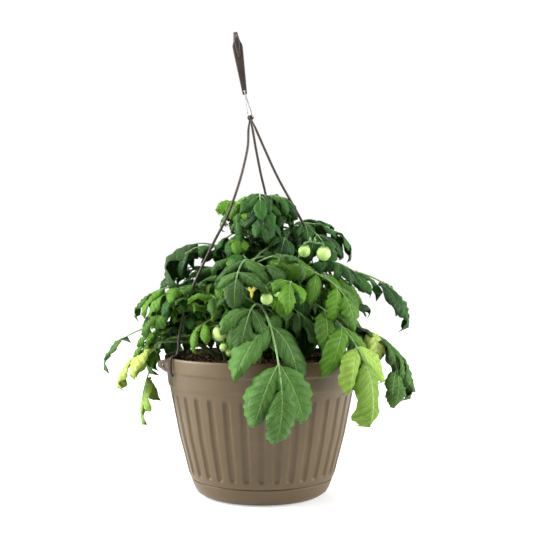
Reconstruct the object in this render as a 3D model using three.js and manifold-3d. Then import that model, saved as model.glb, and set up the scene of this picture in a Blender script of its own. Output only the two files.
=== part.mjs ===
// Tomato plant in a fluted hanging pot: a plastic pot with a clip-on saucer, potting mix, a three-strand
// hanger with a wire link and a hook, and a bushy plant whose leafy stems, trusses and flowers are separate
// pieces. Millimetres, +Z up, the origin at the centre of the saucer's foot, -Y towards the front.
import * as THREE from 'three';
import { mergeVertices } from 'three/addons/utils/BufferGeometryUtils.js';
import Module from 'manifold-3d';

const wasm = await Module();
wasm.setup();

// ---------------------------------------------------------------- driving dimensions
const RIM_RADIUS = 127; // outside of the rim band: a 10 inch basket
const POT_TOP = 180;
const BAND_FOOT = 162; // lower edge of the rim band
const SEAM_Z = 22; // where the saucer's edge meets the pot
const TOUCH = 0.3; // gap kept between pieces that touch
const FLUTES = 34;
const POT_SEGMENTS = 2 * FLUTES;
const SAUCER_SEGMENTS = 40;
const FLUTE_FOOT = 30;
const FLUTE_TOP = 134;
const FLUTE_RADIUS = 4.7;
const FLUTE_DEPTH = 2;
const DRAIN_HOLES = 6;
const DRAIN_RADIUS = 4.5;
const DRAIN_CIRCLE = 48;
const SOIL_TOP = 170;
const SOIL_SEGMENTS = 30; // the mix and the pot's inner wall have the same sides, so that they stay parallel
const CLIP_AZIMUTHS = { left: 209, right: -12, back: 88 }; // where each strand hooks over the rim, degrees
const LUG_TURN = { left: -8, right: 8, back: 8 }; // the moulded lug stands beside its clip, degrees
const LUG_WIDTH = 9;
const LUG_HOLE_RADIUS = 1.6;
const STRAND_RADIUS = 1.7;
const EYE_RADIUS = 2.5; // of the ring at the top of each strand
const EYE_WIRE = 1;
const LINK_WIRE = 0.8;
const LINK_FOOT = [-15, 0, 490]; // middle of the link's bottom bar
const LINK_TOP = [-23, 0, 524.4];
const LINK_HALF_WIDTH = 6.2;
const LINK_TURN = -62; // azimuth of the bottom bar, degrees; the link's top turns to face the hook's hole
const HOOK_LEAN = -8.8; // degrees, the hook leans to the left
const HOOK_HOLE = 4.4; // height of the hole for the link in the hook's foot
const HOOK_HOLE_RADIUS = 1.6;
const HOOK_HEIGHT = 79;
const HOOK_BEND = 11; // centre line radius of the bend, which faces the front
const HOOK_BEVEL = 0.28; // of the strap's edges, as a share of its half width

// ---------------------------------------------------------------- solids and meshes
const radians = THREE.MathUtils.degToRad;
const lerp = THREE.MathUtils.lerp;
const vec = (x, y, z) => new THREE.Vector3(x, y, z);

// A closed geometry as a solid. Only positions are kept, and collapsed triangles are left out.
function solidOf(geometry) {
  const bare = new THREE.BufferGeometry();
  bare.setAttribute('position', geometry.getAttribute('position').clone());
  bare.setIndex(geometry.index ? geometry.index.clone() : null);
  const merged = mergeVertices(bare, 1e-3);
  const triVerts = [];
  for (let i = 0; i < merged.index.count; i += 3) {
    const [a, b, c] = [0, 1, 2].map((k) => merged.index.getX(i + k));
    if (a !== b && b !== c && c !== a) triVerts.push(a, b, c);
  }
  return new wasm.Manifold(new wasm.Mesh({
    numProp: 3,
    vertProperties: merged.attributes.position.array,
    triVerts: new Uint32Array(triVerts),
  }));
}

function geometryOf(solid) {
  const mesh = solid.getMesh();
  const positions = new Float32Array(mesh.numVert * 3);
  for (let i = 0; i < mesh.numVert; i += 1) {
    positions.set(mesh.vertProperties.subarray(i * mesh.numProp, i * mesh.numProp + 3), i * 3);
  }
  const geometry = new THREE.BufferGeometry();
  geometry.setAttribute('position', new THREE.BufferAttribute(positions, 3));
  geometry.setIndex(new THREE.BufferAttribute(mesh.triVerts, 1));
  return geometry;
}

// A turned solid about +Z from a profile of [radius, height] points, listed from the foot outwards and up.
function turned(profile, segments) {
  const points = profile.map(([r, z]) => new THREE.Vector2(r, z));
  return solidOf(new THREE.LatheGeometry(points, segments).rotateX(Math.PI / 2));
}

// A closed skin over rings of points, capped at both ends, or joined end to end in a loop.
function loft(rings, loop = false) {
  const sides = rings[0].length;
  const index = [];
  const positions = rings.flat().flatMap((p) => [p.x, p.y, p.z]);
  const spans = loop ? rings.length : rings.length - 1;
  for (let i = 0; i < spans; i += 1) {
    const next = (i + 1) % rings.length;
    for (let j = 0; j < sides; j += 1) {
      const k = (j + 1) % sides;
      const [a, b, c, d] = [i * sides + j, i * sides + k, next * sides + k, next * sides + j];
      index.push(a, b, c, a, c, d);
    }
  }
  for (let j = 1; !loop && j < sides - 1; j += 1) {
    const last = (rings.length - 1) * sides;
    index.push(0, j + 1, j, last, last + j, last + j + 1);
  }
  const geometry = new THREE.BufferGeometry();
  geometry.setAttribute('position', new THREE.Float32BufferAttribute(positions, 3));
  geometry.setIndex(index);
  return solidOf(geometry);
}

// A round bar along a smooth curve through points, with some rings per span between them; its radius may
// change along it. Each ring is turned as little as possible from the last.
function bar(points, radiusAt, perSpan, sides, loop = false) {
  const curve = new THREE.CatmullRomCurve3(points.map((p) => vec(...p)), loop);
  const steps = perSpan * (loop ? points.length : points.length - 1);
  const normal = vec(0.31, 0.95, 0.05);
  const rings = [];
  for (let i = 0; i < (loop ? steps : steps + 1); i += 1) {
    const centre = curve.getPoint(i / steps);
    const along = curve.getTangent(i / steps);
    normal.addScaledVector(along, -normal.dot(along)).normalize();
    const binormal = along.clone().cross(normal);
    rings.push(Array.from({ length: sides }, (_, j) => {
      const turn = (2 * Math.PI * j) / sides;
      return centre.clone()
        .addScaledVector(normal, radiusAt(i / steps) * Math.cos(turn))
        .addScaledVector(binormal, radiusAt(i / steps) * Math.sin(turn));
    }));
  }
  return loft(rings, loop);
}

const group = new THREE.Group();

function addPiece(name, solid, colour, roughness, metalness = 0) {
  const material = new THREE.MeshStandardMaterial({ color: colour, roughness, metalness, flatShading: true });
  const mesh = new THREE.Mesh(geometryOf(solid), material);
  mesh.name = name;
  group.add(mesh);
}

const around = (r, azimuth, z) => [r * Math.cos(radians(azimuth)), r * Math.sin(radians(azimuth)), z];

// ---------------------------------------------------------------- pot, saucer and potting mix
// The pot's outer wall, foot to rim, as [radius, height].
const WALL = [
  [92.2, SEAM_Z + 0.5], [95.5, 30], [108.4, 80], [120.4, 142], [121.8, 143.4], [124.2, BAND_FOOT - 1.2],
];

function wallRadius(z) {
  const upper = WALL.findIndex(([, height]) => height >= z);
  const [[r0, z0], [r1, z1]] = [WALL[upper - 1], WALL[upper]];
  return lerp(r0, r1, (z - z0) / (z1 - z0));
}

// One flute's cutter: a capsule bent to follow the wall, so that the groove is equally deep all along.
function fluteCutter(azimuth) {
  const length = FLUTE_TOP - FLUTE_FOOT - 2 * FLUTE_RADIUS;
  const capsule = new THREE.CapsuleGeometry(FLUTE_RADIUS, length, 1, 6, 2);
  const position = capsule.getAttribute('position');
  const middle = (FLUTE_TOP + FLUTE_FOOT) / 2;
  for (let i = 0; i < position.count; i += 1) {
    const z = middle + position.getY(i);
    const r = wallRadius(z) + FLUTE_RADIUS - FLUTE_DEPTH + position.getX(i);
    position.setXYZ(i, r, -position.getZ(i), z);
  }
  return solidOf(capsule.rotateZ(radians(azimuth)));
}

function lug(clip) {
  const outline = new THREE.Shape();
  outline.moveTo(RIM_RADIUS - 2, POT_TOP - 1.5);
  outline.lineTo(RIM_RADIUS - 2, BAND_FOOT + 1);
  outline.lineTo(RIM_RADIUS + 4, BAND_FOOT);
  outline.lineTo(RIM_RADIUS + 12.5, BAND_FOOT + 7);
  outline.lineTo(RIM_RADIUS + 12.5, POT_TOP - 3.5);
  outline.closePath();
  const hole = new THREE.Path();
  hole.absarc(RIM_RADIUS + 7, POT_TOP - 9, LUG_HOLE_RADIUS, 0, 2 * Math.PI, true);
  outline.holes.push(hole);
  const settings = { depth: LUG_WIDTH, bevelEnabled: false, curveSegments: 3 };
  const plate = new THREE.ExtrudeGeometry(outline, settings);
  plate.translate(0, 0, -LUG_WIDTH / 2).rotateX(Math.PI / 2);
  return solidOf(plate.rotateZ(radians(CLIP_AZIMUTHS[clip] + LUG_TURN[clip])));
}

function makePot() {
  const outside = [
    [0, 3.3], [76, 3.3], [87, SEAM_Z + 0.5], ...WALL,
    [RIM_RADIUS - 1, BAND_FOOT], [RIM_RADIUS, POT_TOP], [0, POT_TOP],
  ];
  const inside = [
    [0, 6], [72, 6], [84, 20], [105.4, 80], [117.6, 142], [124, POT_TOP + 1], [0, POT_TOP + 1],
  ];
  let pot = turned(outside, POT_SEGMENTS).subtract(turned(inside, SOIL_SEGMENTS));
  for (let i = 0; i < FLUTES; i += 1) {
    pot = pot.subtract(fluteCutter((i + 0.5) * (360 / FLUTES)));
  }
  for (let i = 0; i < DRAIN_HOLES; i += 1) {
    const drill = new THREE.CylinderGeometry(DRAIN_RADIUS, DRAIN_RADIUS, 12, 6).rotateX(Math.PI / 2);
    pot = pot.subtract(solidOf(drill.translate(...around(DRAIN_CIRCLE, i * (360 / DRAIN_HOLES), 5))));
  }
  for (const clip of Object.keys(CLIP_AZIMUTHS)) pot = pot.add(lug(clip));
  addPiece('pot', pot, 0x75675a, 0.55);
}

function makeSaucer() {
  addPiece('saucer', turned([
    [0, 0], [76, 0], [84.5, 5], [90, 16], [91.9, SEAM_Z], [89.8, SEAM_Z], [86.8, 13], [78, 3], [0, 3],
  ], SAUCER_SEGMENTS), 0x6d6053, 0.55);
}

// The mix is heaped a little towards the middle and uneven on top.
function mixHeight(x, y) {
  const heap = 3 * (1 - Math.hypot(x, y) / 119);
  return SOIL_TOP + heap + 1.3 * Math.sin(x * 0.11 + 1) * Math.cos(y * 0.13) + 0.8 * Math.sin((x + y) * 0.27);
}

function makeMix(stems) {
  const profile = [
    [0, 6.4], [71.6, 6.4], [83.4, 20], [104.6, 80], [116.8, 142], [119.6, 160], [121, SOIL_TOP - 3],
    [86, SOIL_TOP], [46, SOIL_TOP], [0, SOIL_TOP],
  ];
  const points = profile.map(([r, z]) => new THREE.Vector2(r, z));
  const lathe = new THREE.LatheGeometry(points, SOIL_SEGMENTS).rotateX(Math.PI / 2);
  const position = lathe.getAttribute('position');
  for (let i = 0; i < position.count; i += 1) {
    if (position.getZ(i) < SOIL_TOP - 1) continue;
    position.setZ(i, mixHeight(position.getX(i), position.getY(i)));
  }
  const mix = stems.reduce((rest, stem) => rest.subtract(stemHole(stem)), solidOf(lathe));
  addPiece('potting_mix', mix, 0x3b2a1e, 0.95);
}

// ---------------------------------------------------------------- hanger
// Each strand's route from its eye under the link to the rim, above the clip.
const STRAND_ROUTES = {
  left: [
    [-17.9, 0, 473], [-18.9, -10, 447.7], [-28.5, -20, 405.5], [-44, -31, 360], [-61.7, -40, 324.2],
    [-80.8, -48, 283.2], [-93.8, -53, 251.6], [-101, -56, 222],
  ],
  back: [
    [-12, 5, 473], [-8.6, 14, 453], [-2, 32, 420], [6.8, 52, 380], [11, 82, 320], [10, 104, 268],
    [6, 116, 225],
  ],
  right: [
    [-7.4, -1, 473], [4, -3, 446.8], [20.1, -6, 411.6], [41.6, -10, 372.3], [62, -14, 335],
    [89.2, -19, 283.9], [104.6, -22, 251.7], [113.4, -24, 224],
  ],
};

// Over the rim and down its outside, to the hook under the band, as [radius, height].
const CLIP_ROUTE = [
  [119, 200], [119.6, 189], [122.6, 183.6], [126.6, 182.6], [129.7, 178.5], [129.6, 164], [127.6, 159],
];

function strandPath(clip) {
  const ends = CLIP_ROUTE.map(([r, z]) => around(r, CLIP_AZIMUTHS[clip], z));
  return [...STRAND_ROUTES[clip], ...ends];
}

function makeStrands() {
  const apart = 2 * EYE_WIRE + TOUCH;
  const places = { left: -apart, back: 0, right: apart };
  const z = LINK_FOOT[2] - EYE_RADIUS + EYE_WIRE + LINK_WIRE + TOUCH;
  for (const clip of Object.keys(CLIP_AZIMUTHS)) {
    const [alongX, alongY] = around(places[clip], LINK_TURN, 0);
    const [x, y] = [LINK_FOOT[0] + alongX, alongY];
    const eye = new THREE.TorusGeometry(EYE_RADIUS, EYE_WIRE, 5, 10).rotateY(Math.PI / 2);
    const path = [[x, y, z - EYE_RADIUS - EYE_WIRE / 2], ...strandPath(clip)];
    const strand = bar(path, (t) => lerp(EYE_WIRE, STRAND_RADIUS, Math.min(1, t * 14)), 2, 5);
    const placed = solidOf(eye.rotateZ(radians(LINK_TURN)).translate(x, y, z));
    addPiece(`strand_${clip}`, strand.add(placed), 0x4c433b, 0.5);
  }
}

// A point of the link: share runs from its bottom bar to its top, and half is how far it stands to the side.
function linkPoint(share, half) {
  const [sideX, sideY] = around(half, lerp(LINK_TURN, -90, share), 0);
  const [x, y, z] = LINK_FOOT.map((value, i) => lerp(value, LINK_TOP[i], share));
  return [x + sideX, y + sideY, z];
}

function makeLink() {
  const side = [[0, LINK_HALF_WIDTH - 1.6], [0.07, LINK_HALF_WIDTH], [0.5, 5.4], [0.9, 4.9], [1, 3.2]];
  const loop = [
    linkPoint(0, 0), ...side.map(([share, half]) => linkPoint(share, half)),
    linkPoint(1, 0), ...side.toReversed().map(([share, half]) => linkPoint(share, -half)),
  ];
  addPiece('wire_link', bar(loop, () => LINK_WIRE, 2, 6, true), 0xb9bcc0, 0.3, 0.9);
}

// The hook as a strap that bends over: [distance along, width across, thickness].
const HOOK_STRAP = [
  [0, 5.6, 5.4], [2, 6.2, 5.6], [14, 7.8, 5.4], [34, 10.2, 5.2], [52, 12.6, 5.2], [64, 13.6, 5],
  [67, 12, 5], [71, 8.6, 4.8], [80, 6, 4.6], [90, 5.2, 4.4], [100, 6.2, 4.4], [109, 6, 4.2],
  [117, 4.2, 3.8], [123, 2, 2.8],
];

function hookPoint(distance) {
  const shank = HOOK_HEIGHT - HOOK_BEND;
  const bend = Math.PI * HOOK_BEND;
  if (distance <= shank) return { out: 0, up: distance, turn: 0 };
  if (distance <= shank + bend) {
    const turn = (distance - shank) / HOOK_BEND;
    return { out: HOOK_BEND * (1 - Math.cos(turn)), up: shank + HOOK_BEND * Math.sin(turn), turn };
  }
  return { out: 2 * HOOK_BEND, up: shank - (distance - shank - bend), turn: Math.PI };
}

function makeHook() {
  const rings = HOOK_STRAP.map(([distance, width, thickness]) => {
    const { out, up, turn } = hookPoint(distance);
    const flat = 1 - HOOK_BEVEL;
    const corners = [
      [1, flat], [flat, 1], [-flat, 1], [-1, flat], [-1, -flat], [-flat, -1], [flat, -1], [1, -flat],
    ];
    return corners.map(([a, b]) => {
      const across = (a * width) / 2;
      const through = (b * thickness) / 2;
      return vec(across, -(out - through * Math.cos(turn)), up + through * Math.sin(turn));
    });
  });
  const hole = new THREE.CylinderGeometry(HOOK_HOLE_RADIUS, HOOK_HOLE_RADIUS, 20, 8)
    .translate(0, 0, HOOK_HOLE);
  const held = vec(0, 0, HOOK_HOLE).applyAxisAngle(vec(0, 1, 0), radians(HOOK_LEAN));
  const place = LINK_TOP.map((value, i) => value - held.toArray()[i]);
  const hook = loft(rings).subtract(solidOf(hole)).rotate([0, HOOK_LEAN, 0]).translate(place);
  addPiece('hook', hook, 0x413a33, 0.45);
}

// ---------------------------------------------------------------- how the plant grows
// A seeded row of numbers from 0 to 1.
function draws(seed) {
  let state = seed;
  return () => {
    state = (state * 1664525 + 1013904223) % 4294967296;
    return state / 4294967296;
  };
}

const STEM_FOOT = 160; // how deep the stems stand in the mix
const STEM_RADIUS = 3.2;
const STEM_TIP_RADIUS = 1.9;
const STEM_STEPS = 4;
const STEM_SIDES = 5;
const RIB_HALF_WIDTH = 1.3; // a leaf's rib, from which the leaflets grow
const RIB_HALF_DEPTH = 1;
const LEAFLET_FOOT = 2.4; // half the width of a side leaflet where it leaves the rib
const BLADE_HALF_DEPTH = 0.4;
const BLADE_SAG = 0.004; // how far a leaf's sides hang, per mm squared
const LOBES = [[0.3, 1], [0.5, 0.66], [0.67, 0.74]]; // a leaflet's cut edge: [share of length, of width]
const END_SHARE = 0.37; // of a leaf's length, taken by the leaflet that ends it
const END_HALF_WIDTH = 0.28; // of that leaflet, as a share of its length
const CLEAR = 6.6; // kept between the points of two stems' leaves
const NEAR = 4.4; // kept between leaves on one stem
const SPACING = 5; // of the points that stand for a leaf
const TRIES = 60;

// The leafy stems: where each ends; its leading leaf as heading, rise, droop and roll in degrees, length, pairs
// of leaflets and, where it isn't END_SHARE, the share of its length that its end leaflet takes; its tone; how
// many more leaves grow along it; and the seed of their draws.
const STEMS = [
  ['front_fall', [0, -80, 246], [-77, -16, 74, 0, 208, 2, 0.33], 'fresh', 1, 11],
  ['right_fall', [40, -66, 262], [-38, -14, 74, 6, 214, 3], 'pale', 1, 12],
  ['left_pale', [-80, -24, 206], [183, 5, 68, 0, 138, 1], 'yellow', 0, 22],
  ['left_pale_low', [-131, -13, 197], [188, -62, 24, 0, 112, 1], 'yellow', 0, 23],
  ['left_long', [-88, 4, 222], [180, 6, 56, 0, 148, 0], 'deep', 1, 20],
  ['left_hang', [-70, -30, 240], [190, 4, 82, 0, 108, 1], 'bright', 0, 21],
  ['left_mid', [-70, -12, 270], [182, 10, 52, -8, 114, 2], 'bright', 1, 19],
  ['left_arch', [-54, 6, 320], [180, 24, 104, 22, 122, 0, 0.74], 'deep', 1, 18],
  ['right_low', [84, 6, 220], [-4, 4, 82, -10, 172, 3], 'deep', 1, 13],
  ['right_mid', [72, 4, 288], [0, 12, 76, 12, 164, 2], 'deep', 1, 14],
  ['right_top', [46, 20, 352], [6, 8, 70, -10, 100, 2], 'deep', 1, 15],
  ['crown', [-4, 2, 382], [-88, 32, 106, 0, 88, 2], 'deep', 1, 46],
  ['crown_left', [-22, 0, 372], [-140, 14, 96, 8, 56, 2], 'bright', 1, 17],
  ['front_left', [-42, -62, 232], [-150, 2, 84, 10, 84, 1], 'bright', 1, 24],
  ['centre_front', [-16, -54, 302], [-103, 12, 96, 0, 112, 2], 'fresh', 1, 25],
  ['centre_right', [46, -50, 288], [-42, 6, 84, 8, 128, 2], 'bright', 2, 26],
  ['back_right', [60, 62, 250], [42, 12, 92, 0, 150, 3], 'deep', 1, 27],
  ['back_high', [24, 66, 318], [70, 18, 92, 0, 122, 2], 'deep', 1, 28],
  ['back_fall', [-14, 88, 228], [104, 12, 96, 0, 156, 3], 'fresh', 1, 29],
  ['back_left', [-52, 54, 288], [134, 14, 88, 0, 138, 2], 'deep', 1, 30],
  ['back_low', [-74, 42, 226], [152, 12, 90, 0, 146, 2], 'bright', 1, 31],
].map(([name, tip, leaf, tone, more, seed]) => ({ name, tip, leaf, tone, more, seed }));

const TONES = { fresh: 0x3f8f3a, pale: 0x7aa544, bright: 0x4f9a2e, deep: 0x1f5a2a, yellow: 0xa9c65a };

// Space that is taken, in cells of CLEAR mm. Each point knows whose it is, and whether it is on a leaf.
const taken = new Map();
const cellOf = (value) => Math.floor(value / CLEAR);

function take(points, owner, onLeaf) {
  for (const [x, y, z] of points) {
    const key = `${cellOf(x)},${cellOf(y)},${cellOf(z)}`;
    if (!taken.has(key)) taken.set(key, []);
    taken.get(key).push({ x, y, z, owner, onLeaf });
  }
}

function isFree([x, y, z], owner) {
  for (let i = cellOf(x) - 1; i <= cellOf(x) + 1; i += 1) {
    for (let j = cellOf(y) - 1; j <= cellOf(y) + 1; j += 1) {
      for (let k = cellOf(z) - 1; k <= cellOf(z) + 1; k += 1) {
        for (const other of taken.get(`${i},${j},${k}`) ?? []) {
          const room = other.owner !== owner ? CLEAR : (other.onLeaf && NEAR);
          if ((other.x - x) ** 2 + (other.y - y) ** 2 + (other.z - z) ** 2 < room * room) return false;
        }
      }
    }
  }
  return true;
}

// Clear of the floor, of the mix and pot under the leaves, and of the rim.
function isOutside([x, y, z]) {
  const r = Math.hypot(x, y);
  return z > 14 && (r > 133 || z > 180) && (r < 114 || r > 133 || z > 190);
}

// Points about SPACING apart along straight lines from corner to corner.
function pointsThrough(corners) {
  const found = [];
  for (let i = 1; i < corners.length; i += 1) {
    const [from, to] = [corners[i - 1], corners[i]];
    const steps = Math.ceil(Math.hypot(...to.map((value, k) => value - from[k])) / SPACING);
    for (let step = 0; step < steps; step += 1) {
      found.push(from.map((value, k) => lerp(value, to[k], step / steps)));
    }
  }
  return [...found, corners.at(-1)];
}

// A stem's line: upright out of the mix, then leaning out to its tip. share runs from 0 to 1.
function stemPoint(stem, share) {
  const { base, tip, knee } = stem;
  const [a, b, c] = [(1 - share) ** 2, 2 * share * (1 - share), share ** 2];
  return [
    a * base[0] + b * lerp(base[0], tip[0], 0.3) + c * tip[0],
    a * base[1] + b * lerp(base[1], tip[1], 0.3) + c * tip[1],
    a * STEM_FOOT + b * knee + c * tip[2],
  ];
}

const pointsAlong = (stem) => Array.from({ length: 49 }, (_, i) => stemPoint(stem, i / 48));

// A stem comes out of the mix where its line is clear of the stems and strands before it.
function growStem(plan) {
  const next = draws(plan.seed + 900);
  const [x, y, z] = plan.tip;
  const azimuth = Math.atan2(y, x);
  const reach = lerp(46, 10, Math.min(1, Math.max(0, (z - 200) / 140)));
  for (let i = 0; i < 3 * TRIES; i += 1) {
    const stray = i / (3 * TRIES);
    const turn = azimuth + (next() - 0.5) * 2.4 * stray;
    const out = reach + (next() - 0.5) * 60 * stray;
    const knee = lerp(SOIL_TOP, z, 0.8) + 14 + 30 * stray * next();
    const stem = { ...plan, base: [out * Math.cos(turn), out * Math.sin(turn)], knee };
    if (pointsAlong(stem).every((point) => isFree(point, plan.name))) return stem;
  }
  throw new Error(`no room for stem ${plan.name}`);
}

// A leaf is one arched sheet: u runs along its rib and v to its left, both in mm.
function sheetPoint(leaf, u, v, lift) {
  const bend = radians(leaf.droop) / leaf.length;
  const rise = radians(leaf.rise);
  const pitch = rise - bend * u;
  const out = (Math.sin(rise) - Math.sin(pitch)) / bend;
  const up = (Math.cos(pitch) - Math.cos(rise)) / bend;
  const [cosA, sinA] = [Math.cos(radians(leaf.heading)), Math.sin(radians(leaf.heading))];
  const [level, tilt] = [Math.cos(radians(leaf.roll)), Math.sin(radians(leaf.roll))];
  const over = [-Math.sin(pitch) * cosA, -Math.sin(pitch) * sinA, Math.cos(pitch)];
  const across = [-sinA * level + over[0] * tilt, cosA * level + over[1] * tilt, over[2] * tilt];
  const normal = [over[0] * level + sinA * tilt, over[1] * level - cosA * tilt, over[2] * level];
  const off = lift - BLADE_SAG * v * v;
  return [
    leaf.at[0] + out * cosA + v * across[0] + off * normal[0],
    leaf.at[1] + out * sinA + v * across[1] + off * normal[1],
    leaf.at[2] + up + v * across[2] + off * normal[2],
  ];
}

// A leaf's leaflets: pairs along the rib, then the one that ends it. Each starts at a place on the rib.
function leafletsOf(leaf) {
  const next = draws(leaf.seed);
  const sizes = { 1: 0.36, 2: 0.34, 3: 0.27 };
  const leaflets = [];
  for (let i = 0; i < leaf.pairs; i += 1) {
    const share = leaf.pairs === 1 ? 0.46 : lerp(0.25, 0.53, i / (leaf.pairs - 1));
    const from = leaf.length * (share + 0.02 * (next() - 0.5));
    for (const side of [1, -1]) {
      const angle = 52 + 14 * next();
      const length = leaf.length * sizes[leaf.pairs] * (0.9 + 0.2 * next());
      leaflets.push({ from, side, angle, length, half: length * (0.25 + 0.04 * next()) });
    }
  }
  const last = leaf.length * leaf.end;
  leaflets.push({ from: leaf.length - last, side: 0, angle: 0, length: last, half: last * END_HALF_WIDTH });
  return leaflets;
}

// A point of a leaflet on its leaf's sheet: p along the leaflet and q to its own left.
function leafletPoint(leaflet, p, q) {
  const turn = leaflet.side * radians(leaflet.angle);
  return [
    leaflet.from + p * Math.cos(turn) - q * Math.sin(turn),
    leaflet.side * RIB_HALF_WIDTH + p * Math.sin(turn) + q * Math.cos(turn),
  ];
}

// Points about SPACING apart over a leaf's blades and rib.
function pointsOver(leaf) {
  const found = [];
  for (let u = 8; u < (1 - leaf.end) * leaf.length; u += SPACING) found.push(sheetPoint(leaf, u, 0, 0));
  for (const leaflet of leafletsOf(leaf)) {
    const steps = Math.ceil(leaflet.length / SPACING);
    for (let i = 1; i <= steps; i += 1) {
      const share = i / steps;
      const half = leaflet.half * Math.sin(Math.PI * share ** 0.7);
      const rows = Math.ceil(half / SPACING);
      for (let row = -rows; row <= rows; row += 1) {
        const q = rows ? (half * row) / rows : 0;
        const [u, v] = leafletPoint(leaflet, share * leaflet.length, q);
        found.push(sheetPoint(leaf, u, v, 0));
      }
    }
  }
  return found;
}

// A leaf turns, tilts and shortens until it has grown clear of all before it, or it is left off.
function growLeaf(plan, owner) {
  const next = draws(plan.seed + 500);
  for (let i = 0; i < TRIES; i += 1) {
    const stray = i / TRIES;
    const leaf = {
      ...plan,
      heading: plan.heading + (next() - 0.5) * 170 * stray,
      rise: plan.rise + (next() - 0.4) * 60 * stray,
      droop: plan.droop + (next() - 0.5) * 40 * stray,
      roll: plan.roll + (next() - 0.5) * 70 * stray,
      length: plan.length * (1 - 0.3 * stray * next()),
    };
    const points = pointsOver(leaf);
    if (points.every((point) => isOutside(point) && isFree(point, owner))) {
      take(points, owner, true);
      return leaf;
    }
  }
  return null;
}

function leadingLeaf(stem) {
  const [heading, rise, droop, roll, length, pairs, end = END_SHARE] = stem.leaf;
  return { at: stemPoint(stem, 0.985), heading, rise, droop, roll, length, pairs, end, seed: stem.seed };
}

// The leaves further down a stem, turned to its two sides by turns.
function lowerLeaves(stem) {
  const next = draws(stem.seed + 70);
  const outward = THREE.MathUtils.radToDeg(Math.atan2(stem.tip[1], stem.tip[0]));
  return Array.from({ length: stem.more }, (_, i) => ({
    at: stemPoint(stem, 0.88 - 0.15 * i - 0.05 * next()),
    heading: outward + (i % 2 ? -1 : 1) * (50 + 60 * next()),
    rise: 24 + 20 * next(),
    droop: 70 + 40 * next(),
    roll: (next() - 0.5) * 30,
    length: 95 + 35 * next(),
    pairs: 2,
    end: END_SHARE,
    seed: stem.seed + 40 + 20 * i,
  }));
}

// ---------------------------------------------------------------- leaves as solids
// The leaf's triangles on its sheet: rows across the rib, and a strip from the rib out along each leaflet.
function leafSurface(leaf) {
  const corners = []; // [u, v, half depth]
  const triangles = [];
  const corner = ([u, v], depth) => corners.push([u, v, depth]) - 1;
  // Pairs of corners, right and left, one after the other along a rib; a pair may meet in a point.
  const strip = (pairs) => {
    for (let i = 1; i < pairs.length; i += 1) {
      const [[right, left], [nextRight, nextLeft]] = [pairs[i - 1], pairs[i]];
      triangles.push([right, nextLeft, left]);
      if (nextRight !== nextLeft) triangles.push([right, nextRight, nextLeft]);
    }
  };
  const grow = (leaflet, right, left) => {
    const pairs = [[right, left]];
    for (const [share, width] of LOBES) {
      pairs.push([-1, 1].map((edge) => (
        corner(leafletPoint(leaflet, share * leaflet.length, edge * width * leaflet.half), BLADE_HALF_DEPTH)
      )));
    }
    const end = corner(leafletPoint(leaflet, leaflet.length, 0), BLADE_HALF_DEPTH);
    strip([...pairs, [end, end]]);
  };
  const leaflets = leafletsOf(leaf);
  const last = leaflets.pop();
  const rows = [];
  const row = (u) => rows.push([-1, 1].map((edge) => corner([u, edge * RIB_HALF_WIDTH], RIB_HALF_DEPTH)));
  row(0);
  for (let i = 0; i < leaflets.length; i += 2) {
    row(leaflets[i].from - LEAFLET_FOOT);
    row(leaflets[i].from + LEAFLET_FOOT);
    const [[rightNear, leftNear], [rightFar, leftFar]] = rows.slice(-2);
    grow(leaflets[i], leftFar, leftNear);
    grow(leaflets[i + 1], rightNear, rightFar);
  }
  row(last.from);
  strip(rows);
  grow(last, ...rows.at(-1));
  return { corners, triangles };
}

// Both faces of the surface, split alike, with walls along its edges.
function leafSolid(leaf) {
  const { corners, triangles } = leafSurface(leaf);
  const count = corners.length;
  const positions = [1, -1].flatMap((face) => (
    corners.flatMap(([u, v, depth]) => sheetPoint(leaf, u, v, face * depth))
  ));
  const index = [];
  const edges = new Set(triangles.flatMap(([a, b, c]) => [`${a},${b}`, `${b},${c}`, `${c},${a}`]));
  for (const [a, b, c] of triangles) {
    index.push(a, b, c, a + count, c + count, b + count);
    for (const [from, to] of [[a, b], [b, c], [c, a]]) {
      if (edges.has(`${to},${from}`)) continue;
      index.push(from, from + count, to + count, from, to + count, to);
    }
  }
  const geometry = new THREE.BufferGeometry();
  geometry.setAttribute('position', new THREE.Float32BufferAttribute(positions, 3));
  geometry.setIndex(index);
  return solidOf(geometry);
}

function stemSolid(stem) {
  const points = Array.from({ length: STEM_STEPS + 1 }, (_, i) => stemPoint(stem, i / STEM_STEPS));
  return bar(points, (share) => lerp(STEM_RADIUS, STEM_TIP_RADIUS, share), 1, STEM_SIDES);
}

// The plain hole that a stem stands in, along its lowest stretch.
function stemHole(stem) {
  const foot = vec(...stemPoint(stem, 0));
  const along = vec(...stemPoint(stem, 1 / STEM_STEPS)).sub(foot);
  const below = foot.clone().addScaledVector(along.clone().normalize(), -2 * TOUCH);
  return bar([below.toArray(), foot.add(along).toArray()], () => STEM_RADIUS + 2 * TOUCH, 1, STEM_SIDES);
}

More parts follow.
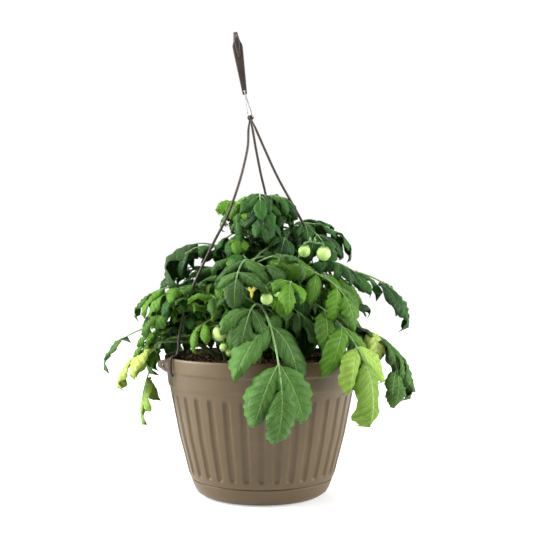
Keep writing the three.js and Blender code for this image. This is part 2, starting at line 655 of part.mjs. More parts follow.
// ---------------------------------------------------------------- trusses and flowers
// Each truss grows from a stem, at a share of its length: the way of its stalk, then its fruits as
// [x, y, z, radius], and the flowers that still stand on it as [x, y, z, radius].
const TRUSSES = [
  {
    name: 'left', on: 'front_left', share: 0.8, way: [[-40, -72, 240], [-47, -82, 234], [-46, -87, 222]],
    fruits: [[-51, -87, 213, 10.2], [-46, -93, 197, 5.6], [-38, -91, 191, 6.2]], flowers: [],
  },
  {
    name: 'centre', on: 'centre_front', share: 0.7, way: [[-6, -72, 276], [-2, -88, 278], [5, -100, 270]],
    fruits: [[6, -104, 256, 7.6], [18, -97, 262, 4.2]], flowers: [[-12, -100, 264, 9]],
  },
  {
    name: 'right', on: 'centre_right', share: 0.9, way: [[46, -56, 306], [56, -58, 325], [70, -58, 324]],
    fruits: [[53, -60, 314, 7.8], [77, -60, 311, 9.2]], flowers: [],
  },
  {
    name: 'back_right', on: 'back_high', share: 0.55, way: [[34, 56, 262], [46, 74, 268], [54, 90, 260]],
    fruits: [[50, 96, 248, 9.4], [66, 92, 250, 8.2]], flowers: [[36, 92, 264, 9]],
  },
  {
    name: 'back_left', on: 'back_left', share: 0.6, way: [[-34, 58, 258], [-38, 78, 264], [-44, 92, 256]],
    fruits: [[-36, 96, 246, 9], [-54, 94, 246, 7.4]], flowers: [],
  },
];
const STALK_RADIUS = 1.3;
const PEDICEL_RADIUS = 0.9;

// The stalk leaves its stem square to it, just clear of its skin.
function truss(plan, stems) {
  const stem = stems.find(({ name }) => name === plan.on);
  const from = vec(...stemPoint(stem, plan.share));
  const along = vec(...stemPoint(stem, plan.share + 0.02)).sub(from).normalize();
  const out = vec(...plan.way[0]).sub(from);
  out.addScaledVector(along, -out.dot(along)).normalize();
  const start = from.clone().addScaledVector(out, STEM_RADIUS + TOUCH);
  const next = start.clone().addScaledVector(out, 3);
  return { ...plan, points: [start.toArray(), next.toArray(), ...plan.way] };
}

const nearest = (points, [x, y, z]) => points.reduce((best, point) => {
  const gap = Math.hypot(point[0] - x, point[1] - y, point[2] - z);
  return gap < best.gap ? { gap, point } : best;
}, { gap: Infinity }).point;

// Points on a ball round a fruit or flower: its poles and three rings.
function pointsRound([x, y, z, radius]) {
  const rings = [-50, 0, 50].flatMap((latitude) => Array.from({ length: 9 }, (_, i) => {
    const [dx, dy] = around(radius * Math.cos(radians(latitude)), 40 * i, 0);
    return [x + dx, y + dy, z + radius * Math.sin(radians(latitude))];
  }));
  return [[x, y, z + radius], [x, y, z - radius], ...rings];
}

const trussPoints = ({ points, fruits, flowers }) => [
  ...pointsThrough(points), ...[...fruits, ...flowers].flatMap(pointsRound),
];

function makeTruss(plan) {
  let solid = bar(plan.points, (share) => lerp(STALK_RADIUS, PEDICEL_RADIUS, share), 2, 5);
  const curve = new THREE.CatmullRomCurve3(plan.points.map((p) => vec(...p)));
  const way = curve.getSpacedPoints(14).slice(5).map((p) => p.toArray());
  for (const [x, y, z, radius] of plan.fruits) {
    const fruit = new THREE.SphereGeometry(radius, 8, 5).rotateX(Math.PI / 2).translate(x, y, z);
    const top = [x, y, z + radius * 0.8];
    const from = nearest(way, [x, y, z + radius + 5]);
    const middle = [(x + from[0]) / 2, (y + from[1]) / 2, Math.max(from[2], z + radius + 2)];
    solid = solid.add(solidOf(fruit))
      .add(bar([from, middle, [x, y, z + radius + 1.5], top], () => PEDICEL_RADIUS, 1, 4));
  }
  for (const [x, y, z, radius] of plan.flowers) {
    const from = nearest(way, [x, y, z + 6]);
    const middle = [(x + from[0]) / 2, (y + from[1]) / 2, Math.max(from[2], z + 5)];
    solid = solid.add(bar([from, middle, [x, y, z + 4], [x, y, z + 1.3]], () => PEDICEL_RADIUS, 1, 4));
  }
  addPiece(`truss_${plan.name}`, solid, 0x7fae4c, 0.4);
}

// A nodding flower: six petals thrown back round a cone of anthers that points down.
function makeFlower(name, [x, y, z, radius]) {
  const star = new THREE.Shape(Array.from({ length: 12 }, (_, i) => {
    const reach = i % 2 ? radius * 0.3 : radius;
    return new THREE.Vector2(reach * Math.cos((Math.PI * i) / 6), reach * Math.sin((Math.PI * i) / 6));
  }));
  const petals = new THREE.ExtrudeGeometry(star, { depth: 0.8, bevelEnabled: false });
  const position = petals.getAttribute('position');
  for (let i = 0; i < position.count; i += 1) {
    const r = Math.hypot(position.getX(i), position.getY(i));
    position.setZ(i, position.getZ(i) + 0.35 * (r - 0.3 * radius));
  }
  const anthers = new THREE.CylinderGeometry(1.8, 0.7, radius * 0.9, 6).rotateX(Math.PI / 2);
  const flower = solidOf(petals).add(solidOf(anthers.translate(0, 0, -radius * 0.4)));
  addPiece(name, flower.translate([x, y, z]), 0xf2c21c, 0.5);
}

// ---------------------------------------------------------------- assembly
for (const clip of Object.keys(CLIP_AZIMUTHS)) take(pointsThrough(strandPath(clip)), 'hanger', false);

const stems = STEMS.map((plan) => {
  const stem = growStem(plan);
  take(pointsAlong(stem), stem.name, false);
  return stem;
});
const trusses = TRUSSES.map((plan) => truss(plan, stems));
for (const plan of trusses) take(trussPoints(plan), `truss_${plan.name}`, false);

const leading = stems.map((stem) => growLeaf(leadingLeaf(stem), stem.name));
const lower = stems.map((stem) => lowerLeaves(stem).map((plan) => growLeaf(plan, stem.name)));

makePot();
makeSaucer();
makeStrands();
makeLink();
makeHook();
makeMix(stems);
stems.forEach((stem, i) => {
  let solid = stemSolid(stem);
  for (const leaf of [leading[i], ...lower[i]]) {
    if (leaf) solid = solid.add(leafSolid(leaf));
  }
  addPiece(`stem_${stem.name}`, solid, TONES[stem.tone], 0.6);
});
let flowerCount = 0;
for (const plan of trusses) {
  makeTruss(plan);
  for (const flower of plan.flowers) {
    flowerCount += 1;
    makeFlower(`flower_${flowerCount}`, flower);
  }
}

export default group;
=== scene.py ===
# %% [markdown]
# # A tomato plant in a hanging pot
# A bushy tomato plant with small green fruits grows in a taupe plastic basket pot. The pot has thirty-four
# upright flutes, a clip-on saucer, and a stiff three-strand hanger that ends in a wire link and a hook. The
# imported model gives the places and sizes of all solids. This lesson dresses each of them: it spins and pushes
# the plastic, grows the leaves by the same rule as the solids, and gives every surface its own finish.

# %% Load the frame
import math

import bmesh
import bpy
import numpy as np
from mathutils import Matrix, Vector, noise


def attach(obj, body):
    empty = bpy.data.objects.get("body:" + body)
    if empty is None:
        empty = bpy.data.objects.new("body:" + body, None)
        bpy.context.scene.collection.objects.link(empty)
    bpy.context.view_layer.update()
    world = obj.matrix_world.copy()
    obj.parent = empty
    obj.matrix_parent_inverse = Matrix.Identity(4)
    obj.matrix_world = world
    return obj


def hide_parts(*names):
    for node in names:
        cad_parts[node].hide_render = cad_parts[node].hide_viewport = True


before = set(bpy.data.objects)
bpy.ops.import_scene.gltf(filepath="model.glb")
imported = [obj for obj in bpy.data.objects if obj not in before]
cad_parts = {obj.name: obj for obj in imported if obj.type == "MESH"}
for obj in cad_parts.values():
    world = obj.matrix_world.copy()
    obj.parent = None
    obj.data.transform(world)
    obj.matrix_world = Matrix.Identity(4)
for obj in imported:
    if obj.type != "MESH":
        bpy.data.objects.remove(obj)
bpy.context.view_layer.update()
MM = 0.001
print("solids:", len(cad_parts))

# %% [markdown]
# ## Camera, floor and light
# The camera stands 1.3 m in front of the pot and looks level at the height of the leaves, which is what the
# ellipses of the rim and of the seam tell. Two soft boxes stand left and right of the pot, a third hangs over
# it and a weak one stands behind. They leave the middle of the pot darker than its flanks and draw every
# flute. The surround looks white, but it gives little light of its own, so that the depth of the plant stays
# dark.

# %% Camera and stage
CAMERA_AT = (5.9, -1306, 298.5)  # mm
LAMP_TARGET = Vector((0, 0, 0.22))  # m
SENSOR = 36  # mm
FRAME_PIXELS = 533
FOCAL_PIXELS = 998
OFF_CENTRE = (0.0, -2.8)  # pixels between the frame's middle and the point that the camera looks at

scene = bpy.context.scene
camera_data = bpy.data.cameras.new("camera")
camera_data.sensor_width = SENSOR
camera_data.lens = SENSOR * FOCAL_PIXELS / FRAME_PIXELS
camera_data.shift_x = OFF_CENTRE[0] / FRAME_PIXELS
camera_data.shift_y = OFF_CENTRE[1] / FRAME_PIXELS
camera = bpy.data.objects.new("camera", camera_data)
camera.location = Vector(CAMERA_AT) * MM
camera.rotation_euler = (math.pi / 2, 0, 0)
scene.collection.objects.link(camera)
scene.camera = camera
scene.view_settings.view_transform = "Standard"


def lamp(name, place, size, watts):
    """A square white soft box at a place in metres that faces the plant."""
    data = bpy.data.lights.new(name, "AREA")
    data.size = size
    data.energy = watts
    lamp_object = bpy.data.objects.new(name, data)
    lamp_object.location = place
    lamp_object.rotation_euler = (LAMP_TARGET - Vector(place)).to_track_quat("-Z", "Y").to_euler()
    scene.collection.objects.link(lamp_object)


lamp("left box", (-1.7, -0.05, 0.9), 1.2, 82)
lamp("right box", (1.7, -0.2, 0.8), 1.2, 54)
lamp("top box", (-0.35, -0.6, 2.0), 0.8, 30)
lamp("back box", (0.2, 1.5, 1.3), 1.0, 12)

SURROUND_LIGHT = 0.22
world = bpy.data.worlds.new("surround")
world.use_nodes = True
surround = world.node_tree.nodes["Background"]
surround.inputs["Color"].default_value = (1, 1, 1, 1)
seen = world.node_tree.nodes.new("ShaderNodeLightPath")
strength = world.node_tree.nodes.new("ShaderNodeMapRange")
strength.inputs["To Min"].default_value = SURROUND_LIGHT
world.node_tree.links.new(seen.outputs["Is Camera Ray"], strength.inputs["Value"])
world.node_tree.links.new(strength.outputs["Result"], surround.inputs["Strength"])
scene.world = world
print("camera at", CAMERA_AT, "mm, lens", round(camera_data.lens, 1), "mm")

# %% [markdown]
# ## How a piece is made
# Every piece is drawn in millimetres in a bmesh and becomes an object that sits at the origin. One function
# closes it off: it scales the mesh to metres, smooths it, gives it its finishes, hides the solids it stands
# for, and hangs it on the plant's root, which has no moving parts.


# %% Helpers for meshes
NO_BAR_WAY = Vector((0.31, 0.95, 0.05))  # a direction that no bar sets out in


def around(radius, azimuth, z):
    """A point at a radius and an azimuth in degrees."""
    return Vector((radius * math.cos(math.radians(azimuth)), radius * math.sin(math.radians(azimuth)), z))


def lerp(low, high, share):
    return low + (high - low) * share


def finish_piece(name, bm, materials, nodes=(), smooth=True):
    bm.transform(Matrix.Scale(MM, 4))
    mesh = bpy.data.meshes.new(name)
    bm.to_mesh(mesh)
    bm.free()
    for material in materials:
        mesh.materials.append(material)
    if smooth:
        mesh.shade_smooth()
    else:
        mesh.shade_flat()
    piece = bpy.data.objects.new(name, mesh)
    scene.collection.objects.link(piece)
    if nodes:
        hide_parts(*nodes)
    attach(piece, "root")
    print(f"{name}: {len(mesh.polygons)} faces")
    return piece


def spun(bm, profile, steps):
    """Spins a profile of (radius, height) points once round +Z and welds the ends."""
    verts = [bm.verts.new((r, 0, z)) for r, z in profile]
    edges = [bm.edges.new(pair) for pair in zip(verts, verts[1:])]
    bmesh.ops.spin(bm, geom=verts + edges, cent=(0, 0, 0), axis=(0, 0, 1), dvec=(0, 0, 0),
                   angle=math.tau, steps=steps, use_merge=True, use_duplicate=False)
    bmesh.ops.remove_doubles(bm, verts=bm.verts, dist=1e-4)
    bmesh.ops.recalc_face_normals(bm, faces=bm.faces)


def smooth_line(corners, steps, loop=False):
    """Points along a smooth curve through corners, with some steps for each span."""
    corners = [Vector(corner) for corner in corners]
    count = len(corners)
    found = []
    for i in range(count if loop else count - 1):
        if loop:
            a, b, c, d = (corners[(i + k) % count] for k in (-1, 0, 1, 2))
        else:
            b, c = corners[i], corners[i + 1]
            a = corners[i - 1] if i else b * 2 - c
            d = corners[i + 2] if i + 2 < count else c * 2 - b
        for step in range(steps):
            t = step / steps
            found.append(0.5 * ((2 * b) + (c - a) * t + (2 * a - 5 * b + 4 * c - d) * t * t
                                + (3 * b - a - 3 * c + d) * t ** 3))
    return found if loop else found + [corners[-1]]


def level_drill(x, z, radius):
    """A round bar along Y that is longer than any plate here is thick."""
    drill = bmesh.new()
    bmesh.ops.create_cone(drill, cap_ends=True, segments=20, radius1=radius, radius2=radius, depth=20)
    drill.transform(Matrix.Translation((x, 0, z)) @ Matrix.Rotation(math.pi / 2, 4, "X"))
    return drill


def drill_hole(piece, drill):
    """Takes a drill in millimetres out of a piece, whose mesh then keeps the hole."""
    drill.transform(Matrix.Scale(MM, 4))
    cutter = bpy.data.objects.new("drill", bpy.data.meshes.new("drill"))
    drill.to_mesh(cutter.data)
    drill.free()
    scene.collection.objects.link(cutter)
    cut = piece.modifiers.new("hole", "BOOLEAN")
    cut.operation = "DIFFERENCE"
    cut.object = cutter
    depsgraph = bpy.context.evaluated_depsgraph_get()
    mesh = bpy.data.meshes.new_from_object(piece.evaluated_get(depsgraph))
    piece.modifiers.clear()
    piece.data = mesh
    bpy.data.objects.remove(cutter)


def tube(bm, line, radius_at, sides, loop=False):
    """A round bar along a line of points. radius_at gives its radius for a share of its length."""
    normal = NO_BAR_WAY
    rings = []
    for i, centre in enumerate(line):
        before = line[i - 1] if i or loop else line[0]
        after = line[(i + 1) % len(line)] if i + 1 < len(line) or loop else line[-1]
        along = (after - before).normalized()
        normal = (normal - along * normal.dot(along)).normalized()
        side = along.cross(normal)
        radius = radius_at(i / (len(line) - 1))
        rings.append([bm.verts.new(centre + (normal * math.cos(turn) + side * math.sin(turn)) * radius)
                      for turn in (math.tau * k / sides for k in range(sides))])
    for ring, following in zip(rings, rings[1:] + rings[:1] if loop else rings[1:]):
        for k in range(sides):
            after = (k + 1) % sides
            bm.faces.new((ring[k], ring[after], following[after], following[k]))
    if not loop:
        bm.faces.new(rings[0][::-1])
        bm.faces.new(rings[-1])


# %% [markdown]
# ## Finishes
# Each finish is one Principled shader with a few noise textures on Object coordinates, so that the pattern
# is fixed to the piece from every side. Moulded plastic is a satin brown with faint cloudy dust and a fine
# grain. Leaves read two maps that the leaf meshes carry: where a point lies along and across its leaflet,
# which draws the veins, and a tone that differs from leaflet to leaflet.


# %% Helpers for materials
class Finish:
    """A material under construction: nodes are added and linked by short calls."""

    def __init__(self, name, **sockets):
        self.material = bpy.data.materials.new(name)
        self.material.use_nodes = True
        self.nodes = self.material.node_tree.nodes
        self.links = self.material.node_tree.links
        self.shader = self.nodes["Principled BSDF"]
        self.place = self.nodes.new("ShaderNodeTexCoord").outputs["Object"]
        for socket, value in sockets.items():
            self.shader.inputs[socket.replace("_", " ")].default_value = value

    def feed(self, socket, value):
        if isinstance(value, bpy.types.NodeSocket):
            self.links.new(value, socket)
        else:
            socket.default_value = value

    def noise(self, scale, detail=3, roughness=0.5):
        node = self.nodes.new("ShaderNodeTexNoise")
        self.links.new(self.place, node.inputs["Vector"])
        for name, value in (("Scale", scale), ("Detail", detail), ("Roughness", roughness)):
            node.inputs[name].default_value = value
        return node.outputs["Fac"]

    def cells(self, scale, feature="F1"):
        node = self.nodes.new("ShaderNodeTexVoronoi")
        node.feature = feature
        self.links.new(self.place, node.inputs["Vector"])
        node.inputs["Scale"].default_value = scale
        return node

    def math(self, operation, a, b=0.0):
        node = self.nodes.new("ShaderNodeMath")
        node.operation = operation
        self.feed(node.inputs[0], a)
        self.feed(node.inputs[1], b)
        return node.outputs[0]

    def between(self, value, low, high, to_low=0.0, to_high=1.0):
        node = self.nodes.new("ShaderNodeMapRange")
        node.interpolation_type = "SMOOTHSTEP"
        for i, number in enumerate((value, low, high, to_low, to_high)):
            self.feed(node.inputs[i], number)
        return node.outputs[0]

    def mix(self, share, a, b):
        node = self.nodes.new("ShaderNodeMix")
        node.data_type = "RGBA"
        self.feed(node.inputs["Factor"], share)
        for socket, colour in ((node.inputs[6], a), (node.inputs[7], b)):
            self.feed(socket, (*colour, 1) if isinstance(colour, tuple) and len(colour) == 3 else colour)
        return node.outputs[2]

    def bump(self, height, distance, strength=1.0):
        node = self.nodes.new("ShaderNodeBump")
        node.inputs["Distance"].default_value = distance
        node.inputs["Strength"].default_value = strength
        self.links.new(height, node.inputs["Height"])
        return node.outputs["Normal"]

    def attribute(self, name):
        node = self.nodes.new("ShaderNodeAttribute")
        node.attribute_name = name
        return node

    def done(self, colour=None, roughness=None, normal=None):
        for socket, value in (("Base Color", colour), ("Roughness", roughness), ("Normal", normal)):
            if value is not None:
                self.feed(self.shader.inputs[socket], value)
        return self.material


# %% Moulded plastic, wire and potting mix
def plastic(name, colour, dusty, grain=0.00012):
    finish = Finish(name, IOR=1.49, Specular_IOR_Level=0.35)
    cloud = finish.noise(9, 4, 0.6)
    streak = finish.noise(60, 5, 0.7)
    body = finish.mix(finish.between(cloud, 0.35, 0.7), colour, dusty)
    worn = finish.mix(finish.between(streak, 0.5, 0.75, 0, 0.25), body, tuple(1.4 * c for c in dusty))
    fine = finish.bump(finish.noise(1400, 2), grain, 0.5)
    return finish.done(worn, finish.between(cloud, 0.3, 0.7, 0.36, 0.5), fine)


def dull_wire():
    finish = Finish("galvanised_wire", Metallic=1.0)
    drawn = finish.noise(500, 3, 0.6)
    return finish.done(finish.mix(drawn, (0.17, 0.17, 0.18), (0.3, 0.3, 0.31)),
                       finish.between(drawn, 0.3, 0.7, 0.3, 0.5), finish.bump(drawn, 0.00004))


def crumbs(name, dark, light, roughness=0.9):
    finish = Finish(name)
    tone = finish.noise(260, 5, 0.7)
    body = finish.mix(finish.between(tone, 0.35, 0.68), dark, light)
    return finish.done(body, roughness, finish.bump(finish.noise(900, 6, 0.7), 0.0004))


pot_plastic = plastic("pot_plastic", (0.09, 0.06, 0.026), (0.102, 0.071, 0.034))
lug_plastic = plastic("lug_plastic", (0.2, 0.165, 0.12), (0.26, 0.22, 0.17))
saucer_plastic = plastic("saucer_plastic", (0.088, 0.058, 0.024), (0.1, 0.068, 0.032))
strand_plastic = plastic("strand_plastic", (0.028, 0.018, 0.013), (0.052, 0.037, 0.03), 0.00004)
hook_plastic = plastic("hook_plastic", (0.02, 0.014, 0.01), (0.042, 0.031, 0.024), 0.00006)
wire_finish = dull_wire()
peat = crumbs("peat", (0.012, 0.007, 0.005), (0.06, 0.033, 0.019))
bark = crumbs("bark", (0.045, 0.022, 0.012), (0.19, 0.1, 0.05))
tan_bark = crumbs("tan_bark", (0.22, 0.13, 0.07), (0.46, 0.31, 0.18))
perlite = crumbs("perlite", (0.52, 0.45, 0.34), (0.82, 0.76, 0.64), 0.8)
print("finishes for pot, hanger and mix")

# %% [markdown]
# ## Pot
# The real pot is one thin moulding. Its outer and inner wall are one profile, spun round the axis. The flutes
# are then pressed into the fine mesh by a formula: a point sinks if it lies within the long round-ended shape
# of a flute. That gives soft moulded edges, where a Boolean cut would leave hard ones.

# %% Pot wall
RIM_RADIUS = 127
POT_TOP = 180
BAND_FOOT = 162
SEAM_Z = 22
FLUTES = 34
FLUTE_FOOT, FLUTE_TOP = 30, 134
FLUTE_RADIUS = 4.7
FLUTE_DEPTH = 2.6
WALL = [  # radius and height
    (92.2, SEAM_Z + 0.5), (95.5, 30), (108.4, 80), (120.4, 142), (121.8, 143.4), (124.2, BAND_FOOT - 1.2),
]
POT_STEPS = 18 * FLUTES
FINE_ROW = 2.0  # mm between rows where the flutes are


def wall_radius(z):
    return float(np.interp(z, [row[1] for row in WALL], [row[0] for row in WALL]))


def flute_depth(point):
    """How far a point of the wall is pressed in: round across, and round at both ends of the flute."""
    azimuth = math.degrees(math.atan2(point.y, point.x))
    pitch = 360 / FLUTES
    aside = math.radians(azimuth % pitch - pitch / 2) * math.hypot(point.x, point.y)
    low, high = FLUTE_FOOT + FLUTE_RADIUS, FLUTE_TOP - FLUTE_RADIUS
    beyond = max(low - point.z, point.z - high, 0)
    away = math.hypot(aside, beyond) / FLUTE_RADIUS
    return FLUTE_DEPTH * (1 - away ** 2) ** 0.7 if away < 1 else 0.0


def make_pot():
    rows = int((FLUTE_TOP - FLUTE_FOOT + 4) / FINE_ROW)
    fluted = [(wall_radius(z), z) for z in np.linspace(FLUTE_FOOT - 2, FLUTE_TOP + 2, rows)]
    outside = [
        (0, 3.3), (40, 3.3), (74, 3.3), (76.4, 3.5), (78.6, 5), (86.4, SEAM_Z - 0.4), (87.2, SEAM_Z + 0.3),
        (91.6, SEAM_Z + 0.4), (92.4, SEAM_Z + 1), (94, 26.5), *fluted,
        (119.9, 140.4), (120.4, 141.6), (121.3, 142.5), (121.9, 143.6), (122.3, 146), (123.9, 158.6),
        (124.3, BAND_FOOT - 1.6), (124.9, BAND_FOOT - 0.6), (125.9, BAND_FOOT - 0.1),
        (126.2, BAND_FOOT + 0.6), (126.4, BAND_FOOT + 4), (126.8, POT_TOP - 3), (126.7, POT_TOP - 1),
        (126, POT_TOP - 0.15), (125.2, POT_TOP), (124.5, POT_TOP - 0.2), (124, POT_TOP - 0.9),
    ]
    inside = [
        (123.6, POT_TOP - 4), (121.7, 168), (117.6, 142), (105.4, 80), (84, 20), (72, 6), (40, 6), (0, 6),
    ]
    bm = bmesh.new()
    spun(bm, outside + inside, POT_STEPS)
    for vert in bm.verts:
        radius = math.hypot(vert.co.x, vert.co.y)
        if FLUTE_FOOT < vert.co.z < FLUTE_TOP and radius > wall_radius(vert.co.z) - 0.5:
            sunk = flute_depth(vert.co)
            vert.co.xy *= (radius - sunk) / radius
    finish_piece("pot_wall", bm, [pot_plastic], ["pot"])


make_pot()

# %% [markdown]
# ## Lugs on the rim
# Beside each clip the rim carries an ear with a hole, moulded with the pot. An ear is an outline that is
# extruded to its width and bevelled. The hole is drilled by a Boolean modifier, which is the plainest way to
# a clean hole in a thick plate.

# %% Lugs
CLIP_AZIMUTHS = {"left": 209, "right": -12, "back": 88}
LUG_TURN = {"left": -8, "right": 8, "back": 8}
LUG_WIDTH = 9
LUG_BEVEL = 0.9
LUG_HOLE_RADIUS = 1.7


def make_lug(clip):
    outline = [
        (RIM_RADIUS - 1.6, POT_TOP - 1.6), (RIM_RADIUS - 1.6, BAND_FOOT + 1),
        (RIM_RADIUS + 3.6, BAND_FOOT + 0.2), (RIM_RADIUS + 12.3, BAND_FOOT + 7),
        (RIM_RADIUS + 12.3, POT_TOP - 4),
    ]
    bm = bmesh.new()
    face = bm.faces.new([bm.verts.new((r, -LUG_WIDTH / 2, z)) for r, z in outline])
    moved = bmesh.ops.extrude_face_region(bm, geom=[face])["geom"]
    far_side = [v for v in moved if isinstance(v, bmesh.types.BMVert)]
    bmesh.ops.translate(bm, verts=far_side, vec=(0, LUG_WIDTH, 0))
    bmesh.ops.recalc_face_normals(bm, faces=bm.faces)
    bmesh.ops.bevel(bm, geom=bm.edges[:], offset=LUG_BEVEL, segments=3, profile=0.5, affect="EDGES",
                    material=-1)
    drill = level_drill(RIM_RADIUS + 7, POT_TOP - 9, LUG_HOLE_RADIUS)
    turn = Matrix.Rotation(math.radians(CLIP_AZIMUTHS[clip] + LUG_TURN[clip]), 4, "Z")
    for part in (bm, drill):
        part.transform(turn)
    drill_hole(finish_piece(f"lug_{clip}", bm, [lug_plastic], ["pot"]), drill)


for clip in CLIP_AZIMUTHS:
    make_lug(clip)

# %% [markdown]
# ## Saucer
# The clip-on saucer is a shallow dish that hugs the pot's foot. Its edge is a thin rolled lip, and the seam
# over it is what shows as the dark line near the bottom of the pot. It is one spun profile with rounded
# corners.

# %% Saucer
def make_saucer():
    profile = [
        (0, 0), (60, 0), (74.6, 0), (76.4, 0.4), (78.4, 1.3), (82, 3.4), (84.9, 5.7), (87.6, 10.2),
        (90, 16.2), (91.2, 19.6), (91.8, 21.2), (91.6, 21.8), (91, 22), (90.3, 21.8), (89.8, 21),
        (88.6, 17.6), (86.9, 13), (83.2, 8), (78, 3), (60, 2.6), (0, 2.6),
    ]
    bm = bmesh.new()
    spun(bm, profile, 180)
    finish_piece("saucer_dish", bm, [saucer_plastic], ["saucer"])


make_saucer()

# %% [markdown]
# ## Potting mix
# The mix is one body up to the rim, heaped a little and uneven on top. What the eye reads as soil is loose on
# its surface: bark chips, dark crumbs, tan splinters and perlite beads. Each chip is a cube or ball of few
# faces that is squeezed and turned by seeded draws, because there are thousands of them.

# %% Mix body
SOIL_TOP = 170
CRUMB_REACH = 116
rng = np.random.default_rng(41)


def mix_height(x, y):
    heap = 3 * (1 - math.hypot(x, y) / 119)
    waves = 1.3 * math.sin(x * 0.11 + 1) * math.cos(y * 0.13)
    return SOIL_TOP + heap + waves + 0.8 * math.sin((x + y) * 0.27)


def make_mix():
    rings = [(r, SOIL_TOP) for r in np.linspace(0, 117, 46)]
    side = [
        (119.6, 168.6), (120.6, 166), (119.6, 160), (116.8, 142), (104.6, 80), (83.4, 20), (71.6, 6.4),
        (0, 6.4),
    ]
    bm = bmesh.new()
    spun(bm, [*rings, *side], 160)
    for vert in bm.verts:
        if vert.co.z > SOIL_TOP - 0.5:
            x, y, _ = vert.co
            rough = noise.noise(Vector((x, y, 0)) * 0.35) * 1.1 + noise.noise(Vector((x, y, 9)) * 0.9) * 0.7
            vert.co.z = mix_height(x, y) + rough
    finish_piece("mix_body", bm, [peat], ["potting_mix"])


make_mix()


# %% Crumbs on the mix
def make_crumbs(name, finish, count, size, squeeze, round_ones):
    bm = bmesh.new()
    for _ in range(count):
        radius = CRUMB_REACH * math.sqrt(rng.uniform(0.02, 1))
        x, y, _ = around(radius, rng.uniform(0, 360), 0)
        across = rng.uniform(*size)
        if round_ones:
            verts = bmesh.ops.create_icosphere(bm, subdivisions=1, radius=across / 2)["verts"]
        else:
            verts = bmesh.ops.create_cube(bm, size=across)["verts"]
        stretch = Vector(rng.uniform(*squeeze, 3))
        for vert in verts:
            vert.co = vert.co * stretch + Vector(rng.uniform(-0.14, 0.14, 3)) * across
        turn = Matrix.Rotation(rng.uniform(0, math.tau), 3, "Z")
        tilt = Matrix.Rotation(rng.uniform(-0.7, 0.7), 3, "X")
        bmesh.ops.rotate(bm, verts=verts, cent=(0, 0, 0), matrix=turn @ tilt)
        bmesh.ops.translate(bm, verts=verts, vec=(x, y, mix_height(x, y) + across * 0.22))
    finish_piece(name, bm, [finish], smooth=False)


make_crumbs("bark_chips", bark, 1500, (2.2, 6), (0.35, 1.3), False)
make_crumbs("dark_crumbs", peat, 1300, (1.6, 5), (0.5, 1.2), True)
make_crumbs("tan_splinters", tan_bark, 820, (1.8, 5), (0.25, 1.2), False)
make_crumbs("perlite_beads", perlite, 320, (1.4, 3.4), (0.8, 1.1), True)

# %% [markdown]
# ## Hanger
# Each strand is a stiff plastic rod: its route is a short list of given points, and a smooth curve runs
# through them. At the top it ends in an eye that sits in the wire link, and at the foot it bends over the rim
# and down to a small round end. The rods stand by themselves, so they are not loose cords.

# %% Strands
TOUCH = 0.3
STRAND_RADIUS = 1.7
EYE_RADIUS = 2.5
EYE_WIRE = 1.0
LINK_WIRE = 0.8
LINK_FOOT = Vector((-15, 0, 490))
LINK_TOP = Vector((-23, 0, 524.4))
LINK_HALF_WIDTH = 6.2
LINK_TURN = -62
STRAND_ROUTES = {
    "left": [(-17.9, 0, 473), (-18.9, -10, 447.7), (-28.5, -20, 405.5), (-44, -31, 360), (-61.7, -40, 324.2),
             (-80.8, -48, 283.2), (-93.8, -53, 251.6), (-101, -56, 222)],
    "back": [(-12, 5, 473), (-8.6, 14, 453), (-2, 32, 420), (6.8, 52, 380), (11, 82, 320), (10, 104, 268),
             (6, 116, 225)],
    "right": [(-7.4, -1, 473), (4, -3, 446.8), (20.1, -6, 411.6), (41.6, -10, 372.3), (62, -14, 335),
              (89.2, -19, 283.9), (104.6, -22, 251.7), (113.4, -24, 224)],
}
CLIP_ROUTE = [  # radius and height
    (119, 200), (119.6, 189), (122.6, 183.6), (126.6, 182.6), (129.7, 178.5), (129.6, 164), (127.6, 159),
]


def strand_path(clip):
    over_rim = [around(r, CLIP_AZIMUTHS[clip], z) for r, z in CLIP_ROUTE]
    return [Vector(p) for p in STRAND_ROUTES[clip]] + over_rim


def make_strands():
    apart = 2 * EYE_WIRE + TOUCH
    places = {"left": -apart, "back": 0, "right": apart}
    height = LINK_FOOT.z - EYE_RADIUS + EYE_WIRE + LINK_WIRE + TOUCH
    for clip in CLIP_AZIMUTHS:
        eye = Vector((LINK_FOOT.x, 0, height)) + around(places[clip], LINK_TURN, 0)
        path = [eye - Vector((0, 0, EYE_RADIUS + EYE_WIRE / 2)), *strand_path(clip)]
        bm = bmesh.new()
        tube(bm, smooth_line(path, 6), lambda t: lerp(EYE_WIRE, STRAND_RADIUS, min(1, t * 14)), 12)
        ring = [Vector((0, math.cos(turn), math.sin(turn))) * EYE_RADIUS
                for turn in (math.tau * i / 24 for i in range(24))]
        turned = Matrix.Rotation(math.radians(LINK_TURN), 3, "Z")
        tube(bm, [turned @ point + eye for point in ring], lambda t: EYE_WIRE, 10, loop=True)
        end_radius = STRAND_RADIUS * 1.15
        foot = bmesh.ops.create_uvsphere(bm, u_segments=12, v_segments=8, radius=end_radius)["verts"]
        bmesh.ops.translate(bm, verts=foot, vec=path[-1])
        bmesh.ops.recalc_face_normals(bm, faces=bm.faces)
        finish_piece(f"rod_{clip}", bm, [strand_plastic], [f"strand_{clip}"])


make_strands()

# %% [markdown]
# ## Wire link and hook
# A bent wire loop joins the eyes to the hook. The hook is a flat moulded strap that bends over at the top, so
# its skin is a row of cross-sections with cut corners along the bend. A ridge runs down its front, and its
# foot has the hole that the wire goes through.

# %% Link
HOOK_LEAN = -8.8
HOOK_HOLE = 4.4
HOOK_HOLE_RADIUS = 1.6
HOOK_HEIGHT = 77.8  # a little under the solid's, whose bend has flat steps that stay under the true round
HOOK_BEND = 11


